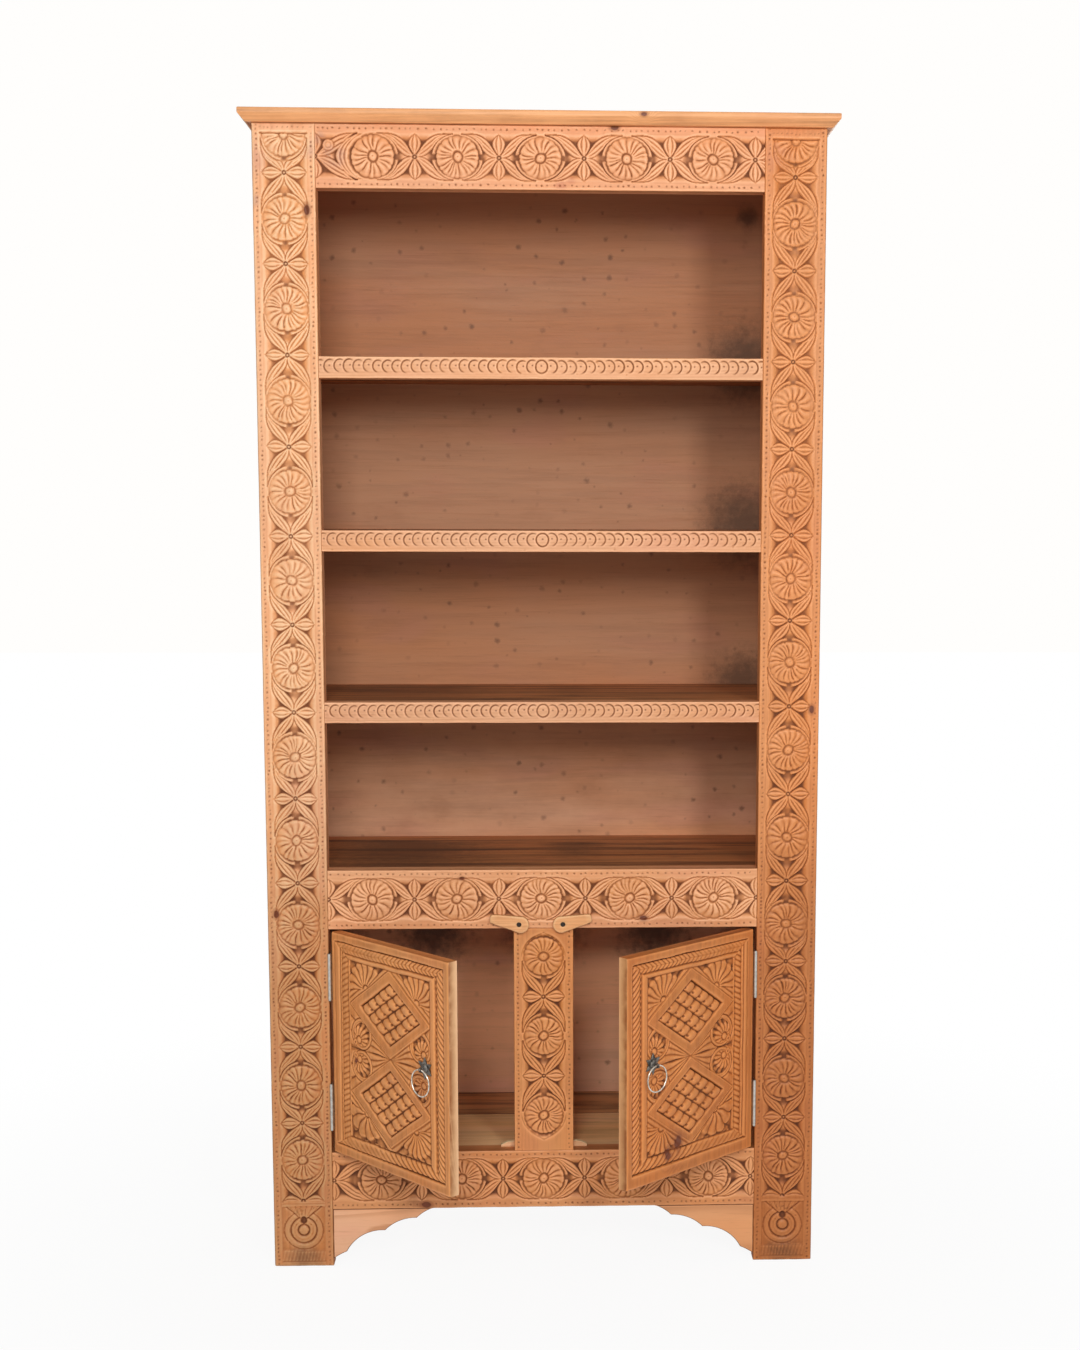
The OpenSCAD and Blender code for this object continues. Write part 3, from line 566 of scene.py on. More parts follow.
def slab(name, outline, place, thick, bevel, edge_shade=0.0, steps=3):
    """A flat shape cut from a board, with softened edges. Its outline is anticlockwise.

    place turns x, y and out into millimetres, and the number after bevel is how much painted shade its edge gets in
    place of a painted highlight.
    """
    outline = np.array(outline, float)
    ahead, behind = np.roll(outline, -1, 0) - outline, outline - np.roll(outline, 1, 0)
    normals = []
    for way in (ahead, behind):
        way = way / np.maximum(np.linalg.norm(way, axis=1), 1e-9)[:, None]
        normals.append(np.column_stack([-way[:, 1], way[:, 0]]))
    inward = normals[0] + normals[1]
    inward /= np.maximum((inward * inward).sum(1) / 2, 0.4)[:, None]
    angles = math.pi / 2 * np.arange(steps + 1) / steps
    insets = bevel * (1 - np.r_[np.sin(angles), np.cos(angles)])
    heights = np.r_[bevel * (1 - np.cos(angles)), thick - bevel * (1 - np.sin(angles))]
    points = [place(*p, height) for inset, height in zip(insets, heights) for p in outline + inward * inset]
    count, rings = len(outline), len(insets)
    first, last = caps(rings, count)
    thing = new_object(name, points, [first, *skin(rings, count), last])
    for k in (0, -1):
        thing.data.polygons[k].use_smooth = False
    # the rings round the edge get a painted highlight, turned into painted shade as far as the edge is darkened
    ridge = np.ones((rings, count))
    ridge[[0, -1]] = 0
    ridge = ridge.ravel()
    set_shades(thing, edge_shade * ridge, (1 - edge_shade) * ridge, 0.6 * edge_shade * ridge)
    return thing


# ---- Materials ----


def linear(red, green, blue):
    """A screen colour from 0 to 255 as Blender's linear colour."""
    parts = np.array([red, green, blue]) / 255
    return (*np.where(parts <= 0.04045, parts / 12.92, ((parts + 0.055) / 1.055) ** 2.4), 1.0)


def scaled(tone, *factors):
    """A screen colour with its parts multiplied."""
    return tuple(np.clip(np.array(tone) * factors, 0, 255))


class Nodes:
    """Builds one material's nodes. A value may be a number, a colour or another node's output."""

    def __init__(self, name):
        self.material = bpy.data.materials.new(name)
        self.material.use_nodes = True
        self.tree = self.material.node_tree
        self.tree.nodes.clear()
        self.shader = self.add("BsdfPrincipled")
        self.output = self.add("OutputMaterial", {0: self.shader.outputs[0]})
        self.colour = None

    def add(self, kind, inputs=(), **settings):
        node = self.tree.nodes.new("ShaderNode" + kind)
        for key, value in settings.items():
            setattr(node, key, value)
        for key, value in dict(inputs).items():
            self.put(node.inputs[key], value)
        return node

    def put(self, socket, value):
        if isinstance(value, bpy.types.NodeSocket):
            self.tree.links.new(value, socket)
        else:
            socket.default_value = value

    def math(self, operation, a, b=0.0, c=0.0, clamp=False):
        return self.add("Math", {0: a, 1: b, 2: c}, operation=operation, use_clamp=clamp).outputs[0]

    def times(self, a, b, plus=0.0):
        return self.math("MULTIPLY_ADD", a, b, plus)

    def vector(self, operation, a, b=(0, 0, 0)):
        node = self.add("VectorMath", {0: a, 1: b}, operation=operation)
        return node.outputs["Value" if operation == "LENGTH" else "Vector"]

    def mix(self, amount, a, b, blend="MIX"):
        node = self.add("Mix", {0: amount, 6: a, 7: b}, data_type="RGBA", blend_type=blend, clamp_factor=True)
        return node.outputs[2]

    def paint(self, amount, tint, blend="MIX"):
        """Lays a screen colour over the base colour."""
        self.colour = self.mix(amount, self.colour, linear(*tint), blend)

    def step(self, value, low, high, to_low=0.0, to_high=1.0):
        """Maps value smoothly from between low and high."""
        inputs = {0: value, 1: low, 2: high, 3: to_low, 4: to_high}
        return self.add("MapRange", inputs, interpolation_type="SMOOTHSTEP").outputs[0]

    def noise(self, place, scale, detail=3.0, rough=0.55, colour=False):
        if isinstance(scale, tuple):
            place, scale = self.vector("MULTIPLY", place, scale), 1.0
        node = self.add("TexNoise", {"Vector": place, "Scale": scale, "Detail": detail, "Roughness": rough})
        return node.outputs["Color" if colour else "Fac"]

    def sway(self, place, scale, reach):
        """A shift across the grain of up to half of reach, for bending a place."""
        shift = self.vector("SUBTRACT", self.noise(place, scale, 2.0, 0.5, colour=True), (0.5, 0.5, 0.5))
        return self.vector("MULTIPLY", shift, (reach, reach, 0.0))

    def line(self, value):
        """A place along a line, for noise that varies with one value."""
        return self.add("CombineXYZ", {0: value}).outputs[0]

    def split(self, value):
        return list(self.add("SeparateXYZ", {0: value}).outputs)

    def turned(self, place, rotation):
        return self.add("VectorRotate", {"Vector": place, "Rotation": rotation}, rotation_type="EULER_XYZ").outputs[0]

    def object_place(self):
        return self.add("TexCoord").outputs["Object"]

    def finish(self, rough, strength, distance, surface):
        """Sets the base colour, the roughness and a fine relief, and returns the material."""
        relief = self.add("Bump", {"Strength": strength, "Distance": distance, "Height": surface}).outputs[0]
        for key, value in (("Base Color", self.colour), ("Roughness", rough), ("Normal", relief)):
            self.put(self.shader.inputs[key], value)
        return self.material


GRAIN = {"z": (0, 0, 0), "x": (0, math.pi / 2, 0), "y": (math.pi / 2, 0, 0)}
KNOT_RIM, KNOT_HEART = (150, 84, 46), (108, 52, 28)


def wood(name, tones, seed, grain="z", turn=0.0, origin=(0, 0, 0), knots=(), pith=(0.02, 0.07), ring=0.0052,
         contrast=1.0, rough=0.52, stain=0.0, foot=None, spots=0.0, stains=(), streak=None, edge=None):
    """Waxed pine: growth rings round a pith beside the board, fibres, drifting tone, knots, stained cuts with painted
    shade, worn ridges with a painted highlight.

    tones are early wood, late wood and the bottom of a cut, darkened by stain and painted shade. grain is the axis that
    the tree grew along.
    A knot is (x, y, z, radius) in metres, and a stain is a soft mark (x, y, z, radius, colour, strength) on the front.
    foot is a level, a tint that the wood takes below it, and the place of the front if only that has the tint.
    spots is how dark a back board's small stains are. streak is the strength of dark streaks, and how many there are
    in a metre across and along the grain. edge is the place of a door's free edge with the colour of its end.
    """
    pale, dark, cut = tones
    rng = np.random.default_rng(seed)
    n = Nodes(name)
    # the grain is along the local Z axis; a door's wood is first turned back to where it is shut
    shut = n.turned(n.vector("SUBTRACT", n.object_place(), tuple(origin)), (0, 0, turn))
    shut_x, shut_y, shut_z = n.split(shut)
    shift = tuple(rng.uniform(-3, 3, 3))
    place = n.vector("ADD", n.turned(shut, GRAIN[grain]), shift)
    bent = n.vector("ADD", place, n.sway(place, (9.0, 9.0, 1.1), 0.026))
    bent = n.vector("ADD", bent, n.sway(place, (60.0, 60.0, 5.0), 0.0022))

    def behind(y, front, back):
        """One value on the front face at y and another behind it."""
        return n.step(shut_y, y + 0.002, y + 0.004, front, back)

    # growth rings, counted from the pith and bulging round the knots
    slant = rng.uniform(-0.02, 0.02, 2)
    parts = n.split(n.vector("SUBTRACT", bent, (shift[0] + pith[0], shift[1] + pith[1], shift[2])))
    across = [n.times(parts[2], slant[k], parts[k]) for k in (0, 1)]
    radius = n.math("SQRT", n.times(across[0], across[0], n.times(across[1], across[1])))
    rings = n.math("DIVIDE", radius, ring)
    rings = n.times(n.noise(n.line(rings), 0.37, 1.0), 2.6, rings)
    # a knot is longer along the grain, and goes deep into the board
    blots, knot_shape = [], (1.0, 0.25, 0.62) if grain == "z" else (0.62, 0.25, 1.0)
    for *middle, size in knots:
        flat = n.vector("MULTIPLY", n.vector("SUBTRACT", shut, middle), knot_shape)
        away = n.math("DIVIDE", n.vector("LENGTH", flat), size)
        away = n.math("ADD", away, n.times(n.noise(shut, 70.0, 2.0), 0.5, -0.25))
        bulge = n.math("POWER", math.e, n.times(n.times(away, away), -0.13))
        rings = n.times(bulge, 4.5, rings)
        blots.append(away)
    ring_tone = n.noise(n.line(rings), 0.9, 1.0)
    saw = n.math("FRACT", rings)
    late = n.times(n.step(saw, 0.25, 0.93), n.step(saw, 1.0, 0.94))
    late = n.times(late, n.times(ring_tone, 1.3 * contrast, 0.05))
    fibre = n.noise(bent, (330.0, 330.0, 9.0), 4.0, 0.65)
    pores = n.noise(bent, (1100.0, 1100.0, 28.0), 2.0, 0.6)
    drift = n.noise(place, (7.0, 7.0, 1.6), 3.0, 0.5)
    blotch = n.noise(place, (16.0, 16.0, 9.0), 4.0, 0.6)

    # bare wood
    n.colour = n.mix(n.math("MULTIPLY", late, 0.75, clamp=True), linear(*pale), linear(*dark))
    n.paint(n.step(drift, 0.35, 0.7, 0.0, 0.7), scaled(pale, 1.03, 0.93, 0.80))
    n.paint(n.step(n.noise(place, (11.0, 11.0, 4.0), 2.0), 0.5, 0.7, 0.0, 0.6), scaled(pale, 1.0, 0.94, 0.97))
    n.paint(n.math("MULTIPLY", late, 0.45, clamp=True), dark)
    n.paint(n.step(fibre, 0.52, 0.8, 0.0, 0.42), dark)
    n.paint(n.step(pores, 0.62, 0.78, 0.0, 0.22), cut)
    n.paint(n.step(blotch, 0.55, 0.85, 0.0, 0.25 + stain), dark)
    if spots:
        level = n.add("CombineXYZ", {0: shut_x, 1: shut_z}).outputs[0]
        cells = n.add("TexVoronoi", {"Vector": level, "Scale": 25.0}, voronoi_dimensions="2D")
        size = n.times(n.add("SeparateColor", {0: cells.outputs["Color"]}).outputs[0], 0.15)
        near = n.math("SUBTRACT", size, n.times(n.noise(shut, 150.0, 3.0, 0.7), 0.2, cells.outputs["Distance"]))
        rare = n.step(n.noise(level, 4.5, 2.0), 0.4, 0.6, 0.25, 1.0)
        n.paint(n.times(n.step(near, -0.14, 0.02, 0.0, spots), rare), cut)
    if streak:
        strength, wide, long = streak
        lines = n.step(n.noise(bent, (wide, wide, long), 6.0, 0.68), 0.44, 0.62, 0.0, strength)
        n.paint(n.times(lines, n.step(n.noise(place, (9.0, 9.0, 1.5), 2.0), 0.3, 0.6, 0.35, 1.0)), cut)
    if edge:
        end, tint = edge
        there = n.step(shut_x, end - math.copysign(0.0006, end), end - math.copysign(0.0002, end))
        n.colour = n.mix(there, n.colour, n.mix(n.times(late, 0.6), linear(*tint), linear(*pale)))

    # what polish, dirt and wear have done to it, with painted shade in its cuts and hollows and a painted highlight on
    # its ridges
    relief = n.add("Attribute", attribute_name="relief")
    groove, ridge, hollow = n.add("SeparateColor", {0: relief.outputs["Color"]}).outputs
    grime_and_shade = n.noise(shut, 45.0, 3.0)
    golden = (0.95, 0.88, 0.65, 1.0)
    carved_area = n.times(relief.outputs["Alpha"], n.step(drift, 0.3, 0.7, 0.15, 0.95))
    n.colour = n.mix(carved_area, n.colour, golden, "MULTIPLY")
    for x, y, z, size, tint, amount in stains:
        offset = n.vector("MULTIPLY", n.vector("SUBTRACT", shut, (x, y, z)), (1.0, 0.3, 1.0))
        far = n.math("DIVIDE", n.vector("LENGTH", offset), size)
        far = n.math("ADD", far, n.times(n.noise(shut, 70.0, 4.0, 0.7), 1.1, -0.55))
        n.paint(n.step(n.math("ADD", far, behind(y, 0.0, 9.0)), 1.2, 0.15, 0.0, amount), tint)
    # painted shade with dirt in the grooves
    groove_shade_and_dirt = tuple(np.array(cut) * 0.66 + np.array(pale) * (0.34, 0.30, 0.22))
    n.paint(n.math("MULTIPLY", groove, n.step(grime_and_shade, 0.25, 0.65, 0.5, 0.95), clamp=True), groove_shade_and_dirt)
    # painted shade in the deep hollows and marked cuts
    n.paint(n.times(hollow, n.step(grime_and_shade, 0.2, 0.6, 0.7, 0.95)), scaled(cut, 0.88))
    # a painted highlight with the rub of wear on the ridges
    n.paint(n.times(ridge, n.step(blotch, 0.2, 0.7, 0.4, 0.9)), np.clip(np.array(pale) * 1.07 + 16, 0, 255))
    if foot:
        level, tint, *fronts = foot
        low = n.step(n.times(blotch, 0.3, n.math("SUBTRACT", shut_z, 0.15)), level + 0.3, level - 0.2, 0.0, 0.9)
        for y in fronts:
            low = n.times(low, behind(y, 1.0, 0.0))
        n.paint(low, tint, "MULTIPLY")
    for away in blots:
        n.paint(n.step(away, 2.1, 1.0, 0.0, 0.6), KNOT_RIM)
        n.paint(n.step(away, 1.15, 0.8, 0.0, 0.95), KNOT_HEART)
    n.put(n.shader.inputs["Specular IOR Level"], 0.38)
    finish = n.times(ridge, -0.1, n.times(groove, 0.22, n.times(fibre, 0.22, rough - 0.11)))
    return n.finish(finish, 0.42, 0.0006, n.times(late, 0.25, n.times(pores, 0.35, n.times(fibre, 0.7))))


def metal(name, bright, dull, rust, seed, rough, wear, metallic=1.0):
    """Hand-worked metal with tarnish, rubbed high spots and fine scratches."""
    n = Nodes(name)
    place = n.vector("ADD", n.object_place(), tuple(np.random.default_rng(seed).uniform(-2, 2, 3)))
    patches = n.noise(place, 160.0, 5.0, 0.6)
    fine = n.noise(place, 900.0, 3.0, 0.6)
    hammer = n.noise(place, 260.0, 1.0)
    n.colour = n.mix(n.step(patches, 0.38, 0.66), linear(*bright), linear(*dull))
    n.paint(n.times(n.step(fine, 0.5, 0.75), wear), rust)
    edge = n.add("NewGeometry").outputs["Pointiness"]
    n.paint(n.step(edge, 0.52, 0.62, 0.0, 0.55), bright)
    n.paint(n.step(edge, 0.48, 0.40, 0.0, 0.75), scaled(dull, 0.4))
    n.put(n.shader.inputs["Metallic"], metallic)
    return n.finish(n.times(patches, 0.35, rough - 0.1), 0.35, 0.0004, n.times(fine, 0.25, n.times(hammer, 0.8)))


def coat(thing, material):
    """Gives a thing that material alone."""
    thing.data.materials.clear()
    thing.data.materials.append(material)


def dress(thing, material, body, node):
    """Gives a piece its material and body, and hides the CAD node that it stands for."""
    coat(thing, material)
    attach(thing, body)
    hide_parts(node)


# ---- The carved frame ----

UPRIGHT = ((1, 0, 0), (0, 0, 1), (0, -1, 0))
FRONT = FRONT_Y * MM
DARK, CUT = (196, 126, 82), (122, 66, 34)
LINES = 0.42


def on_front(*marks):
    """Knots and stains (x, z, size, ...) on the frame's front."""
    return tuple((x, FRONT, *rest) for x, *rest in marks)


# each board's wood: its name, tones, grain, pith, knots and stains
CARVED_WOODS = {
    "left_stile": ("left_stile", ((242, 182, 140), DARK, CUT), "z", (-0.35, 0.06),
                   on_front((-0.3665, 1.722, 0.0048), (-0.436, 0.60, 0.004)),
                   on_front((-0.443, 1.80, 0.035, (196, 136, 122), 0.45), (-0.358, 1.815, 0.02, (176, 128, 120), 0.5),
                            (-0.447, 1.735, 0.012, (160, 118, 116), 0.5), (-0.40, 0.012, 0.035, (88, 62, 48), 0.6))),
    "right_stile": ("right_stile", ((217, 144, 89), (184, 112, 66), (116, 62, 30)), "z", (0.47, 0.05),
                    on_front((0.438, 0.935, 0.004)),
                    on_front((0.40, 0.012, 0.04, (80, 54, 40), 0.6), (0.37, 1.81, 0.03, (190, 116, 90), 0.4))),
    "frieze_rail": ("frieze", ((232, 165, 122), (200, 134, 94), CUT), "x", (1.9, 0.06), on_front((0.115, 1.851, 0.004)),
                    on_front((-0.322, 1.803, 0.022, (138, 104, 106), 0.75), (-0.345, 1.83, 0.012, (150, 110, 108), 0.6),
                             (0.030, 1.762, 0.014, (186, 98, 66), 0.65), (0.046, 1.772, 0.010, (186, 98, 66), 0.55))),
    "mid_rail": ("mid_rail", ((227, 166, 122), DARK, CUT), "x", (0.5, 0.05),
                 on_front((-0.133, 0.658, 0.0028), (0.165, 0.59, 0.004)), ()),
    "bottom_rail": ("bottom_rail", ((212, 148, 98), (176, 112, 76), (104, 56, 30)), "x", (0.1, 0.06),
                    on_front((-0.196, 0.104, 0.005)), on_front((-0.21, 0.108, 0.02, (120, 70, 44), 0.5))),
    "centre_post": ("post", ((217, 149, 92), (180, 110, 66), (106, 56, 28)), "z", (0.03, 0.09), (), ()),
}

# where the rosettes' middles lie: up the stiles and the post, and along the rails from their middles
STILE_ROSETTES = {
    "left_stile": (1708, 1570, 1427, 1285, 1143.8, 1003, 859, 721, 581.7, 443, 310.6, 182.5),
    "right_stile": (1706.4, 1561.9, 1422, 1286, 1148, 1012, 868, 723.7, 579, 452.4, 315, 182),
}
RAIL_ROSETTES = {
    "frieze_rail": (-263, -130.5, -1, 134.5, 270),
    "mid_rail": (-280, -141.5, -3, 142, 280.5),
    "bottom_rail": (-271, -137, -1, 136, 275),
}
POST_ROSETTES = 256, 391, 526


def add_carved(node, face, low_x, low_z, budget, material=None):
    """A board of the frame with that face on its front."""
    if material is None:
        name, tones, grain, pith, knots, stains = CARVED_WOODS[node]
        # the stiles darken towards their feet: partly painted shade where less light reaches, partly a warmer tint of
        # the wood
        foot = (0.64, (210, 194, 168)) if "stile" in node else None
        seed = 1 + list(CARVED_WOODS).index(node)
        material = wood("pine_" + name, tones, seed, grain, pith=pith, contrast=LINES, foot=foot,
                        knots=knots, stains=stains)
    piece = board_from_face("carved_" + node, face, (low_x, FRONT_Y, low_z), UPRIGHT, INNER_Y - FRONT_Y, budget)
    dress(piece, material, "carcass", node)


def between(rosettes):
    """Flowers midway between rosettes: (place, gap before, gap after)."""
    places = sorted(rosettes)
    return [((a + b) / 2, (b - a) / 2, (b - a) / 2) for a, b in zip(places, places[1:])]


def stile_face(rosettes, seed, half_rosette):
    """The front of a stile: rosettes and flowers, a half rosette at its top and a horseshoe at its foot."""
    face = Face(BAND, FRAME_H, seed)
    rng = np.random.default_rng(seed + 1)
    top_flower, foot_flower = 1778.5, min(rosettes) - 70
    flowers = between(rosettes)
    flowers.append((top_flower, top_flower - max(rosettes), half_rosette - top_flower))
    flowers.append((foot_flower, 70, 70))
    s, t = carved_band(face, [half_rosette, *rosettes], flowers, rng)
    h, shade_and_stain_in_cuts = face.h.T, face.shade_and_stain_in_cuts.T
    band = np.abs(t) < FIELD
    # above the line through the half rosette the wood is plain and dotted
    top = (s > half_rosette + 1.5) & (np.abs(t) < 37.5)
    h[top] = shade_and_stain_in_cuts[top] = 0
    h += vee(s - half_rosette - 1, 1.6, 3.0) * (np.abs(t) < 37)
    spot = -36.0
    while spot < 38:
        r = np.hypot(s - half_rosette - 9.5 - rng.normal(0, 0.6), t - spot)
        h -= 1.3 * pit(r, 1.0)
        # painted shade in each dot
        shade_and_stain_in_cuts[r < 0.95] = 0.8
        spot += rng.uniform(5.5, 9)
    # the foot: a double line, a dotted triangle hanging into a deep point, and a horseshoe round a boss
    foot = (s < foot_flower - 1) & band
    h[foot] = shade_and_stain_in_cuts[foot] = 0
    upper_line, lower_line = foot_flower - 1.5, foot_flower - 9.5
    apex, wide = lower_line - 26, 29
    boss_at = apex - 15
    r = np.hypot(s - boss_at, t)
    below = (s < lower_line) & band
    reach = unit((s - apex) / (lower_line - apex)) * wide
    triangle = below & (np.abs(t) < reach) & (s > apex)
    inner, outer = -1.0 - 1.2 * flanks(unit((r - 10) / 12), 2.5), -0.3 - 1.5 * flanks(unit((r - 22) / 11), 2.5)
    arcs = np.where(r < 22, inner, outer)
    for ring, half, depth in ((9.4, 2.0, 2.2), (15.6, 0.9, 0.8), (22.0, 1.8, 2.2), (33.2, 1.6, 2.0)):
        arcs += vee(r - ring, half, depth)
    arcs = np.where(r < 7.4, -0.3 - 1.6 * (r / 8) ** 2, arcs)
    shoe = (r < 33) & ~triangle & (s < lower_line - 1) & band
    h[shoe] = arcs[shoe]
    h[below & (r >= 33) & ~triangle & (s > boss_at - 34) & (np.abs(t) < 35.6)] = -1.1
    h[triangle] = -0.5
    flute = (s - apex + 6) / 3.4
    h += np.where(triangle, crease((t / np.maximum(flute, 4 / 3.4) + 0.5) % 1, flute, 0.9, 1.6), 0)
    h += np.where(below & (s > apex - 2), vee(np.abs(np.abs(t) - reach) * 0.67, 1.6, 2.6), 0)
    deep = np.hypot((s - apex - 1.5) / 7.5, t / 6.5)
    h[below] = np.minimum(h, -4.6 * (1 - smooth(0.75, 1.05, deep)))[below]
    for _ in range(26):
        a, b = rng.uniform(0.18, 0.92), rng.uniform(-0.8, 0.8)
        spot = np.hypot(s - (apex + a * (lower_line - apex)), t - b * a * wide)
        h -= 0.9 * pit(spot, 0.9)
        # painted shade in each dot
        shade_and_stain_in_cuts[spot < 0.85] = 0.7
    for side in (-1, 1):
        for ring in (15, 27):
            h -= 1.4 * pit(np.hypot(s - boss_at - ring * 0.62, t - side * ring * 0.80), 1.3)
    for line in (upper_line, upper_line - 3.2, lower_line):
        h += vee(s - line, 0.9, 1.3) * (np.abs(t) < 35)
    # a hatched strip below it
    base, tall = boss_at - 35, 19
    hatch = (s < base) & (s > base - tall) & band
    h += np.where(hatch, vee(np.abs((t + 0.12 * (s - base)) / 3.1 % 1 - 0.5) * 3.1, 0.9, 0.75), 0)
    for line in (base, base - tall):
        h += vee(s - line, 1.0, 1.4) * band
    # painted shade and stain in the hollows grow stronger towards the foot
    face.stain = 0.45 + 0.85 * smooth(1500, 500, face.v)[:, None]
    return face.finish(1.3, "lrb")


def rail_face(name, seed, radius, first, last):
    """The front of a rail; first and last are the gaps from its end rosettes to the end flowers."""
    face = Face(2 * OPEN_HALF, BAND, seed)
    rng = np.random.default_rng(seed + 1)
    places = [x + OPEN_HALF + rng.uniform(-0.6, 0.6) for x in RAIL_ROSETTES[name]]
    flowers = [(places[0] - first, first, first), *between(places), (places[-1] + last, last, last)]
    face.stain = 1.4
    crescent = 20 if name == "frieze_rail" else 0
    s, t = carved_band(face, places, flowers, rng, radius, False, 0.35, 10.0, crescent)
    if crescent:
        # a bud among the leaves
        r = np.hypot(s - 20, t - 17)
        bud = 0.1 - 1.4 * (r / 8.5) ** 2 + vee(r - 4.6, 1.1, 1.4)
        face.h = np.where(r < 8.5, bud, np.where(r < 11, np.minimum(face.h, -3.2 * (11 - r) / 2.5), face.h))
    return face.finish(1.1, "tb")


def post_face(seed, radius=32.5):
    """The front of the post between the doors."""
    face = Face(BAND, MID_RAIL_Z - CUPBOARD_Z, seed)
    rng = np.random.default_rng(seed + 1)
    places = [z - CUPBOARD_Z for z in POST_ROSETTES]
    face.stain = 1.25
    s, t = carved_band(face, places, between(places), rng, radius)
    h = face.h.T
    # a pointed line round the outer half of the end rosettes
    for centre, way in ((places[0], -1), (places[-1], 1)):
        out = (s - centre) * way
        outline = radius + 2.8 + 5.5 * np.exp(-np.arctan2(np.abs(t), out) / 0.3)
        h += vee(np.hypot(out, t) - outline, 1.3, 1.7) * smooth(-4, 6, out) * (np.abs(t) < 37)
    return face.finish(1.0, "lr")


def shelf_edge_face(seed, height):
    """A row of overlapping scales, each nearer the middle lying over the last, each with a punched dot."""
    face = Face(2 * OPEN_HALF, height, seed)
    rng = np.random.default_rng(seed)
    s, t = face.bent(0.35, 20)
    middle, pitch = height - 14.6, 15.2
    count = int(OPEN_HALF / pitch)
    for k in sorted(range(-count, count + 1), key=lambda k: -abs(k)):
        radius = 8.7 + rng.uniform(-0.5, 0.4)
        centre, level = OPEN_HALF + k * pitch + rng.uniform(-0.5, 0.5), middle + rng.uniform(-0.7, 0.7)
        part = window(face.u, centre, 13)
        h, shade_and_stain_in_cuts = face.h[:, part], face.shade_and_stain_in_cuts[:, part]
        x, y = s[:, part] - centre, t[:, part] - level
        r = np.hypot(x, 0.93 * y)
        away = x if k > 0 else -x
        turned = 1.0 if k == 0 else smooth(-0.55, 0.5, (away * 0.93 + y * 0.36) / np.maximum(r, 0.1))
        reach = 2.3 * rng.uniform(0.75, 1.2)
        groove = -2.5 * rng.uniform(0.7, 1.15) * turned * unit(1 - (r - radius) / reach) ** 1.3
        dot = np.hypot(x - rng.uniform(-1, 1), (y - 1.2) * 1.3)
        value = np.where(r > radius, groove, -0.55 * (r / radius) ** 3 * turned) - 1.3 * pit(dot, 1.35)
        keep = (r < radius) | ((r < radius + reach) & (groove < -0.05))
        h[keep] = value[keep]
        shade_and_stain_in_cuts[r < radius] = 0
        # painted shade in each dot and along each scale's edge
        shade_and_stain_in_cuts[dot < 1.5] = rng.uniform(0.8, 1.0)
        line = (r > radius - 0.2) & (r < radius + 1.5)
        shade_and_stain_in_cuts[line] = np.maximum(shade_and_stain_in_cuts, rng.uniform(0.75, 1.1) * turned * (1.25 - 0.4 * np.abs(r - radius)))[line]
    return face.finish(1.0, "tb", tool=0.16, wave=0.35)


for name, seed, top, low_x in (("left_stile", 10, 1837, -HALF_W), ("right_stile", 12, 1835, OPEN_HALF)):
    add_carved(name, stile_face(STILE_ROSETTES[name], seed, top), low_x, 0, 185000)
for name, low_z, *shape in (("frieze_rail", FRIEZE_Z, 21, 33.4, 89, 67), ("mid_rail", MID_RAIL_Z, 22, 34.6, 71, 70),
                            ("bottom_rail", LEG_H, 23, 34.2, 78, 71)):
    add_carved(name, rail_face(name, *shape), -OPEN_HALF, low_z, 110000)
add_carved("centre_post", post_face(31), -BAND / 2, CUPBOARD_Z, 70000)
for k, name in enumerate(("lower_shelf_edge", "middle_shelf_edge", "upper_shelf_edge")):
    low, high = corners(name)
    tone = 0.945 + 0.02 * k
    tones = scaled((233, 174, 132), tone), scaled(DARK, tone), CUT
    edge_wood = wood("pine_" + name, tones, 41 + k, "x", pith=(0.3, 0.05), contrast=LINES)
    add_carved(name, shelf_edge_face(51 + k, high[2] - low[2]), -OPEN_HALF, low[2], 70000, edge_wood)


# ---- The carved doors ----

OPEN_ANGLE = {"left": math.radians(47), "right": math.radians(43)}
hinge_low, hinge_high = corners("left_upper_hinge_pin")
HINGE_X, HINGE_Y = [(hinge_low[k] + hinge_high[k]) / 2 for k in (0, 1)]
DOOR_LOW, DOOR_HIGH = (corner[2] for corner in corners("left_door"))
# a door's near edge and its front from the hinge's axis, its width and its thickness
DOOR_X, DOOR_Y, DOOR_W, DOOR_T = 1.5, 3.1, 297.0, 18.0


def rope(along, across, half, pitch, slant, depth):
    """A twisted moulding: rounded across, with slanting notches between its strands."""
    phase = (along + slant * across) / pitch % 1
    return -1.7 * unit(np.abs(across) / half) ** 2.2 - depth * flanks(phase) + crease(phase, pitch, 1.0, 0.5 * depth)


def fan(x, z, pivot, toward, spreading, count, rng, reach):
    """Flutes that open out from a pivot, with a small boss at it; the angles are in degrees."""
    dx, dz = x - pivot[0], z - pivot[1]
    r = np.hypot(dx, dz)
    spreading = math.radians(spreading)
    angle = (np.arctan2(dz, dx) - math.radians(toward) + math.pi) % TURN - math.pi
    phase = ((angle / spreading + 0.5) * count + 0.12 * np.sin(r / 6 + rng.uniform(0, 6))) % 1
    width = spreading / count * np.maximum(r, 3)
    flutes = -0.5 - np.clip(0.3 * width, 0.6, 2.4) * flanks(phase, 1.8) + crease(phase, width, 1.1, 1.5)
    flutes -= 3.0 * smooth(reach - 4, reach + 1, r + 3.0 * flanks(phase, 1.5))
    return np.where(r < 5.5, -0.5 - 1.6 * (r / 5.5) ** 2, flutes + gouge(r - 6.6, 1.5, 2.2))


def strands(part, size, count=3):
    """Leaf strands that run beside a strap; part runs from 0 to 1 across them, and size is its slope."""
    phase = part * count % 1
    broad = np.clip(1 / count / size, 0, 8)
    return -0.7 - np.clip(0.3 * broad, 0.3, 1.8) * flanks(phase, 1.8) + crease(phase, broad, 0.9, 1.2)


